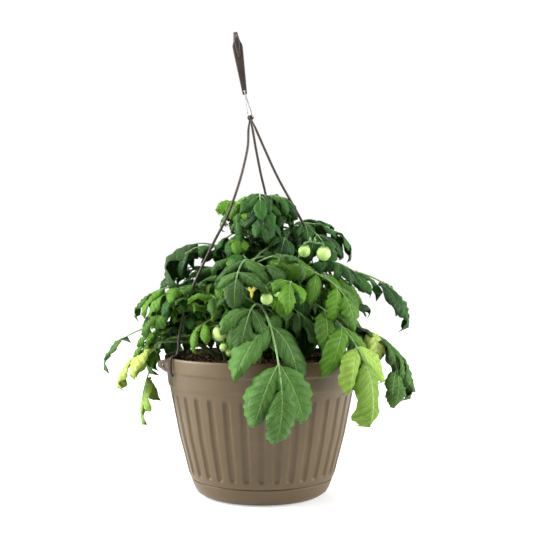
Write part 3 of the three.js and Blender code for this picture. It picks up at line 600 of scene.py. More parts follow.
def link_point(share, half):
    aside = around(half, lerp(LINK_TURN, -90, share), 0)
    return LINK_FOOT.lerp(LINK_TOP, share) + aside


def make_link():
    side = [(0, LINK_HALF_WIDTH - 1.6), (0.07, LINK_HALF_WIDTH), (0.5, 5.4), (0.9, 4.9), (1, 3.2)]
    loop = [link_point(0, 0), *(link_point(share, half) for share, half in side),
            link_point(1, 0), *(link_point(share, -half) for share, half in reversed(side))]
    bm = bmesh.new()
    tube(bm, smooth_line(loop, 6, loop=True), lambda t: LINK_WIRE, 10, loop=True)
    bmesh.ops.recalc_face_normals(bm, faces=bm.faces)
    finish_piece("bent_wire", bm, [wire_finish], ["wire_link"])


make_link()

# %% Hook
HOOK_STRAP = [
    (0, 5, 4.8), (0.7, 5.6, 5.2), (2, 6.1, 5.5), (8, 7, 5.4), (14, 7.8, 5.3), (24, 9, 5.2), (34, 10.2, 5.1),
    (44, 11.5, 5.1), (52, 12.6, 5.1), (58, 13.2, 5), (62, 13.5, 5), (64.4, 13.2, 4.9), (66.4, 12.2, 4.9),
    (68.6, 10.2, 4.8), (71, 8.6, 4.7), (75, 7.1, 4.6), (80, 6, 4.5), (85, 5.4, 4.4), (90, 5.2, 4.3),
    (95, 5.6, 4.3), (100, 6.1, 4.3), (105, 6.2, 4.2), (109, 5.9, 4.1), (113, 5.1, 4), (117, 4.1, 3.7),
    (120.5, 3, 3.2), (123, 1.8, 2.4),
]
HOOK_RIDGE = 0.16  # how far the middle of the strap stands out on its shank, as a share of its thickness


def hook_point(distance):
    """Out, up and turn of the strap's middle line, at a distance along it."""
    shank, bend = HOOK_HEIGHT - HOOK_BEND, math.pi * HOOK_BEND
    if distance <= shank:
        return 0, distance, 0
    if distance <= shank + bend:
        turn = (distance - shank) / HOOK_BEND
        return HOOK_BEND * (1 - math.cos(turn)), shank + HOOK_BEND * math.sin(turn), turn
    return 2 * HOOK_BEND, shank - (distance - shank - bend), math.pi


def make_hook():
    bm = bmesh.new()
    rings = []
    for distance, width, thickness in HOOK_STRAP:
        ridge = 1 + HOOK_RIDGE * max(0, 1 - distance / (HOOK_HEIGHT - HOOK_BEND))
        section = [
            (1, 0.7), (0.86, 0.93), (0.6, 1), (0.2, 1), (0, ridge), (-0.2, 1), (-0.6, 1), (-0.86, 0.93),
            (-1, 0.7), (-1, -0.7), (-0.86, -0.93), (-0.6, -1), (0.6, -1), (0.86, -0.93), (1, -0.7),
        ]
        out, up, turn = hook_point(distance)
        rings.append([bm.verts.new((a * width / 2, -(out - b * thickness / 2 * math.cos(turn)),
                                    up + b * thickness / 2 * math.sin(turn))) for a, b in section])
    for ring, following in zip(rings, rings[1:]):
        for k in range(len(section)):
            after = (k + 1) % len(section)
            bm.faces.new((ring[k], ring[after], following[after], following[k]))
    bm.faces.new(rings[0][::-1])
    bm.faces.new(rings[-1])
    bmesh.ops.recalc_face_normals(bm, faces=bm.faces)
    drill = level_drill(0, HOOK_HOLE, HOOK_HOLE_RADIUS)
    lean = Matrix.Rotation(math.radians(HOOK_LEAN), 4, "Y")
    place = Matrix.Translation(LINK_TOP - lean @ Vector((0, 0, HOOK_HOLE))) @ lean
    for part in (bm, drill):
        part.transform(place)
    drill_hole(finish_piece("hook_strap", bm, [hook_plastic], ["hook"]), drill)


make_hook()

# %% [markdown]
# ## How the plant grows
# A tomato has woody green stems that carry compound leaves: a rib with pairs of cut leaflets and one that
# ends it. The rule below is the one that shaped the solids. Stems rise out of the mix, and each leaf turns,
# tilts or shortens until it is clear of all that grew before it. Here it gives the place of each leaf, and
# the finer leaf is then drawn on it. The draws are seeded, so every run grows the same plant.

# %% Growth rule: draws and stems
STEM_FOOT = 160
STEM_RADIUS = 3.2
STEM_TIP_RADIUS = 1.9
RIB_HALF_WIDTH = 1.3
BLADE_SAG = 0.004
CLEAR = 6.6
NEAR = 4.4
SPACING = 5
TRIES = 60
END_SHARE = 0.37
END_HALF_WIDTH = 0.28
DRAWS_FOR = {"stem": 900, "leaf": 500, "lower": 70, "fill": 2000, "look": 5000}  # what a use adds to a seed

# Name, tip, leading leaf (heading, rise, droop, roll, length, pairs and, where it isn't END_SHARE, the share
# of the length that the end leaflet takes), tone, further leaves, seed.
STEMS = [
    ("front_fall", (0, -80, 246), (-77, -16, 74, 0, 208, 2, 0.33), "fresh", 1, 11),
    ("right_fall", (40, -66, 262), (-38, -14, 74, 6, 214, 3), "pale", 1, 12),
    ("left_pale", (-80, -24, 206), (183, 5, 68, 0, 138, 1), "yellow", 0, 22),
    ("left_pale_low", (-131, -13, 197), (188, -62, 24, 0, 112, 1), "yellow", 0, 23),
    ("left_long", (-88, 4, 222), (180, 6, 56, 0, 148, 0), "deep", 1, 20),
    ("left_hang", (-70, -30, 240), (190, 4, 82, 0, 108, 1), "bright", 0, 21),
    ("left_mid", (-70, -12, 270), (182, 10, 52, -8, 114, 2), "bright", 1, 19),
    ("left_arch", (-54, 6, 320), (180, 24, 104, 22, 122, 0, 0.74), "deep", 1, 18),
    ("right_low", (84, 6, 220), (-4, 4, 82, -10, 172, 3), "deep", 1, 13),
    ("right_mid", (72, 4, 288), (0, 12, 76, 12, 164, 2), "deep", 1, 14),
    ("right_top", (46, 20, 352), (6, 8, 70, -10, 100, 2), "deep", 1, 15),
    ("crown", (-4, 2, 382), (-88, 32, 106, 0, 88, 2), "deep", 1, 46),
    ("crown_left", (-22, 0, 372), (-140, 14, 96, 8, 56, 2), "bright", 1, 17),
    ("front_left", (-42, -62, 232), (-150, 2, 84, 10, 84, 1), "bright", 1, 24),
    ("centre_front", (-16, -54, 302), (-103, 12, 96, 0, 112, 2), "fresh", 1, 25),
    ("centre_right", (46, -50, 288), (-42, 6, 84, 8, 128, 2), "bright", 2, 26),
    ("back_right", (60, 62, 250), (42, 12, 92, 0, 150, 3), "deep", 1, 27),
    ("back_high", (24, 66, 318), (70, 18, 92, 0, 122, 2), "deep", 1, 28),
    ("back_fall", (-14, 88, 228), (104, 12, 96, 0, 156, 3), "fresh", 1, 29),
    ("back_left", (-52, 54, 288), (134, 14, 88, 0, 138, 2), "deep", 1, 30),
    ("back_low", (-74, 42, 226), (152, 12, 90, 0, 146, 2), "bright", 1, 31),
]


def draws(seed):
    """Numbers from 0 to 1, the same for the same seed here and in the solids."""
    state = seed
    while True:
        state = (state * 1664525 + 1013904223) % 4294967296
        yield state / 4294967296


class Space:
    """Points that are taken, and what took them."""

    def __init__(self):
        self.points = np.empty((0, 3))
        self.on_leaf = np.empty(0, bool)
        self.codes = {}
        self.owner_codes = np.empty(0, int)

    def take(self, points, owner, on_leaf):
        code = self.codes.setdefault(owner, len(self.codes))
        self.points = np.vstack([self.points, points])
        self.on_leaf = np.append(self.on_leaf, [on_leaf] * len(points))
        self.owner_codes = np.append(self.owner_codes, [code] * len(points))

    def is_free(self, points, owner, clear=CLEAR, near=NEAR):
        code = self.codes.setdefault(owner, len(self.codes))
        low, high = points.min(axis=0) - clear, points.max(axis=0) + clear
        close = ((self.points >= low) & (self.points <= high)).all(axis=1)
        others = self.points[close]
        if not len(others):
            return True
        own = self.owner_codes[close] == code
        room = np.where(own, np.where(self.on_leaf[close], near, 0), clear)
        gaps = ((points[:, None, :] - others[None, :, :]) ** 2).sum(axis=2)
        return not (gaps < room ** 2).any()


space = Space()


def points_through(corners):
    found = []
    for start, end in zip(corners, corners[1:]):
        steps = math.ceil(math.dist(start, end) / SPACING)
        found += [[lerp(a, b, step / steps) for a, b in zip(start, end)] for step in range(steps)]
    return np.array([*found, list(corners[-1])])


def stem_point(stem, share):
    a, b, c = (1 - share) ** 2, 2 * share * (1 - share), share ** 2
    base, tip = stem["base"], stem["tip"]
    return Vector((a * base[0] + b * lerp(base[0], tip[0], 0.3) + c * tip[0],
                   a * base[1] + b * lerp(base[1], tip[1], 0.3) + c * tip[1],
                   a * STEM_FOOT + b * stem["knee"] + c * tip[2]))


def grow_stem(plan):
    number = draws(plan["seed"] + DRAWS_FOR["stem"])
    x, y, z = plan["tip"]
    azimuth = math.atan2(y, x)
    reach = lerp(46, 10, min(1, max(0, (z - 200) / 140)))
    for i in range(3 * TRIES):
        stray = i / (3 * TRIES)
        turn = azimuth + (next(number) - 0.5) * 2.4 * stray
        out = reach + (next(number) - 0.5) * 60 * stray
        knee = lerp(SOIL_TOP, z, 0.8) + 14 + 30 * stray * next(number)
        stem = {**plan, "base": (out * math.cos(turn), out * math.sin(turn)), "knee": knee}
        points = np.array([stem_point(stem, k / 48) for k in range(49)])
        if space.is_free(points, plan["name"]):
            space.take(points, plan["name"], False)
            return stem
    raise ValueError(f"no room for stem {plan['name']}")


# %% Growth rule: leaves
def sheet_points(leaf, u, v, lift):
    """Points of a leaf's arched sheet: u along its rib, v to its left and lift above it, as arrays in mm."""
    u, v, lift = np.broadcast_arrays(*(np.asarray(value, float) for value in (u, v, lift)))
    bend = math.radians(leaf["droop"]) / leaf["length"]
    rise = math.radians(leaf["rise"])
    pitch = rise - bend * u
    out = (math.sin(rise) - np.sin(pitch)) / bend
    up = (np.cos(pitch) - math.cos(rise)) / bend
    cos_a, sin_a = math.cos(math.radians(leaf["heading"])), math.sin(math.radians(leaf["heading"]))
    level, tilt = math.cos(math.radians(leaf["roll"])), math.sin(math.radians(leaf["roll"]))
    over = np.stack([-np.sin(pitch) * cos_a, -np.sin(pitch) * sin_a, np.cos(pitch)], axis=-1)
    across = over * tilt + np.array([-sin_a, cos_a, 0]) * level
    normal = over * level + np.array([sin_a, -cos_a, 0]) * tilt
    off = lift - BLADE_SAG * v * v
    middle = np.stack([out * cos_a, out * sin_a, up], axis=-1) + np.array(leaf["at"])
    return middle + v[..., None] * across + off[..., None] * normal


def leaflets_of(leaf):
    number = draws(leaf["seed"])
    sizes = {1: 0.36, 2: 0.34, 3: 0.27}
    leaflets = []
    for i in range(leaf["pairs"]):
        share = 0.46 if leaf["pairs"] == 1 else lerp(0.25, 0.53, i / (leaf["pairs"] - 1))
        start = leaf["length"] * (share + 0.02 * (next(number) - 0.5))
        for side in (1, -1):
            angle = 52 + 14 * next(number)
            length = leaf["length"] * sizes[leaf["pairs"]] * (0.9 + 0.2 * next(number))
            half = length * (0.25 + 0.04 * next(number))
            leaflets.append({"from": start, "side": side, "angle": angle, "length": length, "half": half})
    last = leaf["length"] * leaf["end"]
    leaflets.append({"from": leaf["length"] - last, "side": 0, "angle": 0, "length": last,
                     "half": last * END_HALF_WIDTH})
    return leaflets


def leaflet_place(leaflet, p, q):
    """Where a point of a leaflet lies on the leaf's sheet: p along the leaflet and q to its own left."""
    turn = leaflet["side"] * math.radians(leaflet["angle"])
    return (leaflet["from"] + p * math.cos(turn) - q * math.sin(turn),
            leaflet["side"] * RIB_HALF_WIDTH + p * math.sin(turn) + q * math.cos(turn))


def points_over(leaf):
    places = [(u, 0.0) for u in np.arange(8, (1 - leaf["end"]) * leaf["length"], SPACING)]
    for leaflet in leaflets_of(leaf):
        steps = math.ceil(leaflet["length"] / SPACING)
        for i in range(1, steps + 1):
            share = i / steps
            half = leaflet["half"] * math.sin(math.pi * share ** 0.7)
            rows = math.ceil(half / SPACING)
            for row in range(-rows, rows + 1):
                q = half * row / rows if rows else 0
                places.append(leaflet_place(leaflet, share * leaflet["length"], q))
    places = np.array(places)
    return sheet_points(leaf, places[:, 0], places[:, 1], 0)


def is_outside(points):
    r = np.hypot(points[:, 0], points[:, 1])
    z = points[:, 2]
    return bool(((z > 14) & ((r > 133) | (z > 180)) & ((r < 114) | (r > 133) | (z > 190))).all())


def grow_leaf(plan, owner, clear=CLEAR, near=NEAR, tries=TRIES):
    number = draws(plan["seed"] + DRAWS_FOR["leaf"])
    for i in range(tries):
        stray = i / tries
        leaf = {
            **plan,
            "heading": plan["heading"] + (next(number) - 0.5) * 170 * stray,
            "rise": plan["rise"] + (next(number) - 0.4) * 60 * stray,
            "droop": plan["droop"] + (next(number) - 0.5) * 40 * stray,
            "roll": plan["roll"] + (next(number) - 0.5) * 70 * stray,
            "length": plan["length"] * (1 - 0.3 * stray * next(number)),
        }
        points = points_over(leaf)
        if is_outside(points) and space.is_free(points, owner, clear, near):
            space.take(points, owner, True)
            return leaf
    return None


def leading_leaf(stem):
    heading, rise, droop, roll, length, pairs, *end = stem["leaf"]
    return {"at": stem_point(stem, 0.985), "heading": heading, "rise": rise, "droop": droop, "roll": roll,
            "length": length, "pairs": pairs, "end": end[0] if end else END_SHARE, "seed": stem["seed"]}


def lower_leaves(stem):
    number = draws(stem["seed"] + DRAWS_FOR["lower"])
    outward = math.degrees(math.atan2(stem["tip"][1], stem["tip"][0]))
    plans = []
    for i in range(stem["more"]):
        plans.append({
            "at": stem_point(stem, 0.88 - 0.15 * i - 0.05 * next(number)),
            "heading": outward + (-1 if i % 2 else 1) * (50 + 60 * next(number)),
            "rise": 24 + 20 * next(number),
            "droop": 70 + 40 * next(number),
            "roll": (next(number) - 0.5) * 30,
            "length": 95 + 35 * next(number),
            "pairs": 2,
            "end": END_SHARE,
            "seed": stem["seed"] + 40 + 20 * i,
        })
    return plans


# %% [markdown]
# The order in which the pieces take their room is the order of the solids: the rods first, then the stems,
# the trusses of fruit, each stem's leading leaf, and last the leaves further down. The trusses are listed
# here with their fruits and flowers, because the leaves keep clear of them.

# %% Trusses and the plant's layout
TRUSSES = [  # a fruit or flower is its middle and its radius
    {"name": "left", "on": "front_left", "share": 0.8,
     "way": [(-40, -72, 240), (-47, -82, 234), (-46, -87, 222)],
     "fruits": [(-51, -87, 213, 10.2), (-46, -93, 197, 5.6), (-38, -91, 191, 6.2)], "flowers": []},
    {"name": "centre", "on": "centre_front", "share": 0.7,
     "way": [(-6, -72, 276), (-2, -88, 278), (5, -100, 270)],
     "fruits": [(6, -104, 256, 7.6), (18, -97, 262, 4.2)], "flowers": [(-12, -100, 264, 9)]},
    {"name": "right", "on": "centre_right", "share": 0.9,
     "way": [(46, -56, 306), (56, -58, 325), (70, -58, 324)],
     "fruits": [(53, -60, 314, 7.8), (77, -60, 311, 9.2)], "flowers": []},
    {"name": "back_right", "on": "back_high", "share": 0.55,
     "way": [(34, 56, 262), (46, 74, 268), (54, 90, 260)],
     "fruits": [(50, 96, 248, 9.4), (66, 92, 250, 8.2)], "flowers": [(36, 92, 264, 9)]},
    {"name": "back_left", "on": "back_left", "share": 0.6,
     "way": [(-34, 58, 258), (-38, 78, 264), (-44, 92, 256)],
     "fruits": [(-36, 96, 246, 9), (-54, 94, 246, 7.4)], "flowers": []},
]
STALK_RADIUS = 1.3
PEDICEL_RADIUS = 0.9


def route_truss(plan, stems):
    """The stalk leaves its stem square to it, just clear of its skin."""
    stem = stems[plan["on"]]
    start = stem_point(stem, plan["share"])
    along = (stem_point(stem, plan["share"] + 0.02) - start).normalized()
    out = Vector(plan["way"][0]) - start
    out = (out - along * out.dot(along)).normalized()
    first = start + out * (STEM_RADIUS + TOUCH)
    return {**plan, "points": [first, first + out * 3, *(Vector(p) for p in plan["way"])]}


def points_round(x, y, z, radius):
    found = [(x, y, z + radius), (x, y, z - radius)]
    for latitude in (-50, 0, 50):
        level = radius * math.cos(math.radians(latitude))
        found += [(x + level * math.cos(math.radians(40 * i)), y + level * math.sin(math.radians(40 * i)),
                   z + radius * math.sin(math.radians(latitude))) for i in range(9)]
    return found


def lay_out_plant():
    for clip in CLIP_AZIMUTHS:
        space.take(points_through(strand_path(clip)), "hanger", False)
    stems = {}
    for name, tip, leaf, tone, more, seed in STEMS:
        plan = {"name": name, "tip": tip, "leaf": leaf, "tone": tone, "more": more, "seed": seed}
        stems[name] = grow_stem(plan)
    trusses = [route_truss(plan, stems) for plan in TRUSSES]
    for plan in trusses:
        balls = [points_round(*ball) for ball in (*plan["fruits"], *plan["flowers"])]
        space.take(np.vstack([points_through(plan["points"]), *balls]), f"truss_{plan['name']}", False)
    leaves = {name: [grow_leaf(leading_leaf(stem), name)] for name, stem in stems.items()}
    for name, stem in stems.items():
        leaves[name] += [grow_leaf(plan, name) for plan in lower_leaves(stem)]
    return stems, trusses, {name: [leaf for leaf in row if leaf] for name, row in leaves.items()}


stems, trusses, leaves = lay_out_plant()
for name, row in leaves.items():
    print(name, [(round(leaf["heading"], 1), round(leaf["length"], 1)) for leaf in row])

# %% [markdown]
# ## Filling the plant
# The solids hold the main leaves. A real plant of this age is denser, so a few single leaves that the eye
# finds are listed one by one, and every stem then bears more leaves along its length. They grow by the same
# rule, but they may come closer to each other, as soft leaves do. The front fruits and the flower hang free,
# so the room before them is taken first, along the way that the camera looks.

# %% Further leaves
FILL_CLEAR = 1.5
FILL_NEAR = 1.3
FILL_TRIES = 24
FILL_COUNT = 17  # leaves that each stem tries to bear, from its tip down
SIDE_REACH = 190  # mm, further leaves stay this close to the axis
CROWN_TOP = 390
CROWN_FOOT, CROWN_LEFT = 335, -52  # above the foot nothing grows further left
UNDER_ARCH = (-96, 280)  # left of x and above z only the arched leaf reaches out
BARE_MIX = (-112, -28, -40, 212)  # from x, to x, before y and under z: here the mix shows between the stems
SEEN_SEED = 7000
FILL_SEED = 3000
OPEN_BEFORE = 80  # mm, kept open before a fruit
LEADING_TONES = {"left_arch": "fresh", "left_long": "fresh", "right_low": "fresh", "left_pale_low": "pale"}

# Single leaves that the eye finds: the stem, where the leaf grows (a share of the stem, or a distance in mm
# along its leading leaf's rib), (heading, rise, droop, roll, length, pairs, the end leaflet's share), tone.
SEEN_LEAVES = [
    ("centre_right", 36, (178, 34, 34, -50, 70, 0, 0.92), "bright"),
    ("crown_left", 0.98, (188, 42, 84, -40, 46, 0, 0.85), "bright"),
    ("crown", 0.985, (-150, 34, 84, 10, 46, 0, 0.88), "bright"),
    ("crown", 0.985, (-30, 34, 80, -10, 50, 0, 0.88), "fresh"),
    ("crown", 0.985, (30, 30, 80, -20, 54, 0, 0.88), "deep"),
    ("crown", 0.985, (-24, 30, 104, 8, 74, 1, 0.5), "deep"),
    ("crown", 0.95, (-62, 20, 96, -14, 62, 1, 0.55), "bright"),
    ("crown", 0.9, (-140, 16, 90, 0, 62, 1, 0.5), "bright"),
    ("crown", 0.84, (-78, 8, 84, 12, 66, 1, 0.5), "deep"),
    ("crown_left", 0.98, (-100, 26, 110, 0, 48, 0, 0.85), "bright"),
    ("crown_left", 0.86, (-120, 10, 90, 10, 60, 1, 0.5), "deep"),
    ("right_top", 0.97, (-70, 20, 92, 0, 66, 1, 0.5), "deep"),
    ("front_left", 0.64, (-112, 14, 84, 0, 96, 0, 0.55), "bright"),
    ("right_low", 52, (-64, 2, 96, 0, 72, 0, 0.85), "yellow"),
    ("right_low", 86, (-66, -44, 44, 0, 94, 1, 0.5), "fresh"),
    ("centre_right", 0.86, (-78, 4, 92, 0, 84, 1, 0.5), "deep"),
    ("centre_front", 0.9, (-52, 10, 92, 0, 74, 1, 0.5), "deep"),
]


def keep_open(plan):
    """Takes the room before a truss's fruits and flowers."""
    for x, y, z, radius in (*plan["fruits"], *plan["flowers"]):
        ball = Vector((x, y, z))
        towards = (Vector(CAMERA_AT) - ball).normalized()
        for reach in np.arange(radius, OPEN_BEFORE, 5):
            space.take(np.array(points_round(*(ball + towards * float(reach)), 0.8 * radius)), "view", False)


def seen_leaf(i, name, where, shape, tone):
    if where < 1:
        at = stem_point(stems[name], where)
    else:
        at = Vector(sheet_points(leaves[name][0], where, 0, 0).tolist())
    keys = ("heading", "rise", "droop", "roll", "length", "pairs", "end")
    plan = {"at": at, **dict(zip(keys, shape)), "tone": tone, "seed": SEEN_SEED + 53 * i}
    return grow_leaf(plan, name, FILL_CLEAR, 0, FILL_TRIES)


def is_inside(leaf):
    """True if a further leaf stays within the plant's outline."""
    reach = points_over(leaf)
    x, y, z = reach.T
    beside_crown = (z > CROWN_FOOT) & (x < CROWN_LEFT)
    under_arch = (x < UNDER_ARCH[0]) & (z > UNDER_ARCH[1])
    over_mix = (x > BARE_MIX[0]) & (x < BARE_MIX[1]) & (y < BARE_MIX[2]) & (z < BARE_MIX[3])
    kept_free = beside_crown | under_arch | over_mix
    return np.hypot(x, y).max() < SIDE_REACH and z.max() < CROWN_TOP and not kept_free.any()


def fill_leaves(stem):
    number = draws(stem["seed"] + DRAWS_FOR["fill"])
    outward = math.degrees(math.atan2(stem["tip"][1], stem["tip"][0]))
    tone = {"pale": "bright", "yellow": "bright"}.get(stem["tone"], stem["tone"])
    grown = []
    for i in range(FILL_COUNT):
        at = stem_point(stem, lerp(0.97, 0.34, i / FILL_COUNT) - 0.03 * next(number))
        turn = (20 + 150 * next(number)) * (-1 if i % 2 else 1)
        plan = {
            "at": at,
            "heading": outward + turn,
            "rise": 5 + 45 * next(number),
            "droop": 60 + 50 * next(number),
            "roll": (next(number) - 0.5) * 50,
            "length": 62 + 52 * next(number),
            "pairs": 1 + int(2 * next(number)),
            "end": END_SHARE + 0.1 * next(number),
            "tone": tone,
            "seed": stem["seed"] + FILL_SEED + 37 * i,
        }
        leaf = grow_leaf(plan, stem["name"], FILL_CLEAR, FILL_NEAR, FILL_TRIES)
        if leaf and is_inside(leaf):
            grown.append(leaf)
    return grown


for plan in trusses:
    if plan["way"][0][1] < 0:
        keep_open(plan)
for i, row in enumerate(SEEN_LEAVES):
    leaf = seen_leaf(i, *row)
    print("leaf on", row[0], "grown" if leaf else "left off", round(leaf["heading"]) if leaf else "")
    if leaf:
        leaves[row[0]].append(leaf)
for name, stem in stems.items():
    leaves[name] += fill_leaves(stem)
for name, tone in LEADING_TONES.items():
    leaves[name][0]["tone"] = tone
print("leaves in all:", sum(len(row) for row in leaves.values()))

# %% [markdown]
# ## Leaf finish
# A tomato leaflet is soft and hairy, so it shines only a little. The veins are paler lines in slight grooves,
# and the blade puffs up between them. The mesh carries a map of each leaflet, from foot to tip and from edge
# to edge. The midrib is the middle of that map, and the side veins are slanted stripes that end in the teeth.

# %% Leaf materials
TEETH = 7


def leaf_finish(name, deep, bright, vein, under=0.0):
    finish = Finish(name, Specular_IOR_Level=0.2)
    blade = finish.nodes.new("ShaderNodeUVMap")
    blade.uv_map = "blade"
    split = finish.nodes.new("ShaderNodeSeparateXYZ")
    finish.links.new(blade.outputs["UV"], split.inputs[0])
    across = finish.math("SUBTRACT", finish.math("MULTIPLY", split.outputs["Y"], 2.0), 1.0)
    aside = finish.math("ABSOLUTE", across)
    slanted = finish.math("SUBTRACT", split.outputs["X"], finish.math("MULTIPLY", aside, 0.09))
    phase = finish.math("FRACT", finish.math("MULTIPLY", slanted, float(TEETH)))
    off = finish.math("ABSOLUTE", finish.math("SUBTRACT", phase, 0.5))
    side_vein = finish.between(off, 0.02, 0.13, 1, 0)
    midrib = finish.between(aside, 0.02, 0.09, 1, 0)
    fade = finish.between(aside, 0.2, 1.0, 1, 0.25)
    lines = finish.math("MAXIMUM", finish.math("MULTIPLY", side_vein, fade), midrib)
    tone = finish.attribute("tone").outputs["Fac"]
    cloud = finish.noise(70, 4, 0.6)
    # Painted light: besides the leaf's own random mottle, the colour is painted lighter midway between the side
    # veins and darker along them, a painted highlight on the puffs and painted shade in the vein grooves.
    mottle_and_painted_puff_light = finish.math("ADD", finish.math("MULTIPLY", cloud, 0.5), finish.math("MULTIPLY", off, 0.5))
    share = finish.math("ADD", finish.math("MULTIPLY", tone, 0.6), mottle_and_painted_puff_light)
    body = finish.mix(finish.between(share, 0.25, 1.05), deep, bright)
    net = finish.cells(420, "DISTANCE_TO_EDGE").outputs["Distance"]
    netted = finish.between(net, 0.0, 0.12, 0.35, 0)
    pale_lines = finish.math("MULTIPLY", lines, 0.35)
    pale_lines = finish.math("MAXIMUM", pale_lines, finish.math("MULTIPLY", midrib, 0.7))
    veined = finish.mix(finish.math("MAXIMUM", pale_lines, finish.math("MULTIPLY", netted, 0.6)), body, vein)
    grooves = finish.math("MULTIPLY", lines, 0.9 - 1.6 * under)
    puff = finish.math("SUBTRACT", finish.noise(160, 3, 0.5), grooves)
    relief = finish.bump(finish.math("SUBTRACT", puff, netted), 0.0011, 0.9)
    rough = finish.between(cloud, 0.3, 0.7, 0.42 + under * 0.2, 0.6 + under * 0.2)
    return finish.done(veined, rough, relief)


LEAF_COLOURS = {  # deep, bright, vein
    "fresh": ((0.008, 0.034, 0.003), (0.056, 0.155, 0.02), (0.15, 0.27, 0.065)),
    "bright": ((0.014, 0.058, 0.002), (0.085, 0.225, 0.007), (0.17, 0.32, 0.03)),
    "deep": ((0.003, 0.02, 0.001), (0.022, 0.1, 0.008), (0.055, 0.16, 0.025)),
    "pale": ((0.09, 0.19, 0.012), (0.25, 0.4, 0.05), (0.38, 0.53, 0.13)),
    "yellow": ((0.27, 0.38, 0.04), (0.58, 0.7, 0.19), (0.64, 0.74, 0.32)),
}
UNDER_GREEN = (0.13, 0.26, 0.06)
upper_sides = {}
under_sides = {}
for tone_name, (deep, bright, vein) in LEAF_COLOURS.items():
    upper_sides[tone_name] = leaf_finish(f"leaf_{tone_name}", deep, bright, vein)
    pale = [tuple(lerp(a, b, 0.3) for a, b in zip(colour, UNDER_GREEN)) for colour in (deep, bright, vein)]
    under_sides[tone_name] = leaf_finish(f"leaf_{tone_name}_under", *pale, under=1.0)


def stalk_finish(name, deep, bright):
    finish = Finish(name, Sheen_Weight=0.3, Sheen_Roughness=0.4)
    streak = finish.noise(180, 4, 0.6)
    body = finish.mix(finish.between(streak, 0.35, 0.7), deep, bright)
    return finish.done(body, 0.55, finish.bump(finish.noise(900, 3), 0.0003, 0.6))


stem_green = stalk_finish("stem_green", (0.07, 0.17, 0.03), (0.2, 0.34, 0.1))
print("leaf finishes:", list(upper_sides))

# %% [markdown]
# ## Leaf blades
# A leaflet starts as a flat grid. Its width follows a pointed oval with two notches, every second row reaches
# out as a tooth, and the rows lean towards the tip. Then the sheet is given height: it folds along the
# midrib, puffs up between the side veins, rolls its edges under and droops to its tip. At last it is laid on
# the leaf's arched sheet. The thickness comes from a Solidify modifier, whose underside takes a paler finish.

# %% One leaflet
ROWS = 2 * TEETH
COLUMNS = 6
BLADE_THICKNESS = 0.45


def leaflet_look(number):
    """How one leaflet bends, by seeded draws."""
    return {
        "fold": 0.1 + 0.36 * next(number) ** 1.5,
        "curl": 0.2 + 0.4 * next(number),
        "wave": 0.2 + 0.5 * next(number),
        "phase": next(number),
        "pucker": 1.0 + 1.2 * next(number),
        "droop": 0.1 + 0.32 * next(number),
        "twist": (next(number) - 0.5) * 0.7,
        "notch": 0.03 + 0.15 * next(number),
        "tone": next(number),
        "bow": (next(number) - 0.5) * 0.24,
        "size": 0.9 + 0.26 * next(number),
        "turn": (next(number) - 0.5) * 26,
        "hang": 0.06 + 0.26 * next(number),
    }


HANG = 0.72  # the share of its angle that a leaflet keeps when its weight pulls it towards the leaf's tip
STIFF_STEMS = ("centre_front",)  # their leaflets keep their angle, clear of the flower


def varied(leaflet, look, hang):
    """The leaflet at its own size, angle and sideways bow; the one that ends the leaf keeps its length."""
    half = leaflet["half"] * look["size"]
    if not leaflet["side"]:
        return {**leaflet, "half": half, "bow": look["bow"]}
    length = leaflet["length"] * look["size"]
    angle = leaflet["angle"] * hang + look["turn"]
    bow = -leaflet["side"] * look["hang"] if hang < 1 else 0.0
    return {**leaflet, "length": length, "half": half, "angle": angle, "bow": bow}


def leaflet_surface(leaf, leaflet, look, s, t, lift=0.0):
    """Points of a leaflet for shares along it (s, 0 to 1) and across it (t, -1 to 1)."""
    s, t = np.asarray(s, float), np.asarray(t, float)
    length, half = leaflet["length"], leaflet["half"]
    edge = np.abs(t)
    tooth = np.where(np.round(s * ROWS) % 2 == 1, 1.0, -1.0)
    tooth[(s < 0.5 / ROWS) | (s > 1 - 0.5 / ROWS)] = 0
    oval = 2.8 * np.clip(s, 0, 1) ** 0.6 * np.clip(1 - s, 0, 1) ** 0.95
    notched = 1 - look["notch"] * (np.exp(-((s - 0.3) / 0.06) ** 2) + np.exp(-((s - 0.58) / 0.07) ** 2))
    width = 0.7 * (1 - s) ** 4 + half * oval * notched * (1 + 0.05 * tooth * edge ** 2)
    p = length * (s + edge * 0.12 * np.sin(np.pi * s)) + tooth * 0.01 * length * edge ** 2
    q = t * width + leaflet["bow"] * length * s * s
    height = look["fold"] * np.abs(t * width)
    height += look["pucker"] * half / 22 * -tooth * 4 * edge * (1 - edge) * np.sin(np.pi * s)
    rolled = 0.5 - 0.5 * np.sin(math.tau * (1.6 * s + look["phase"]) + np.sign(t) * 1.3)
    height -= look["wave"] * half * edge ** 2 * rolled
    height -= look["curl"] * half * edge ** 3 + look["droop"] * length * s ** 2
    height += t * width * np.tan(look["twist"] * s)
    u, v = leaflet_place(leaflet, p, q) if leaflet["side"] else (leaflet["from"] + p, q)
    return sheet_points(leaf, u, v, height + lift)


def add_leaflet(bm, leaf, leaflet, look, layers, material):
    verts = bmesh.ops.create_grid(bm, x_segments=ROWS, y_segments=COLUMNS, size=1)["verts"]
    flat = np.array([vert.co for vert in verts])
    s, t = (flat[:, 0] + 1) / 2, flat[:, 1]
    places = leaflet_surface(leaf, leaflet, look, s, t)
    blade, tone = layers
    share = {}
    for vert, place, row in zip(verts, places, zip(s, t)):
        vert.co = place
        vert[tone] = look["tone"]
        share[vert] = row
    for face in {face for vert in verts for face in vert.link_faces}:
        face.material_index = material
        for loop in face.loops:
            row = share[loop.vert]
            loop[blade].uv = (row[0], row[1] / 2 + 0.5)
    tips = [vert for vert in verts if share[vert][0] > 1 - 0.5 / ROWS]
    bmesh.ops.remove_doubles(bm, verts=tips, dist=0.05)


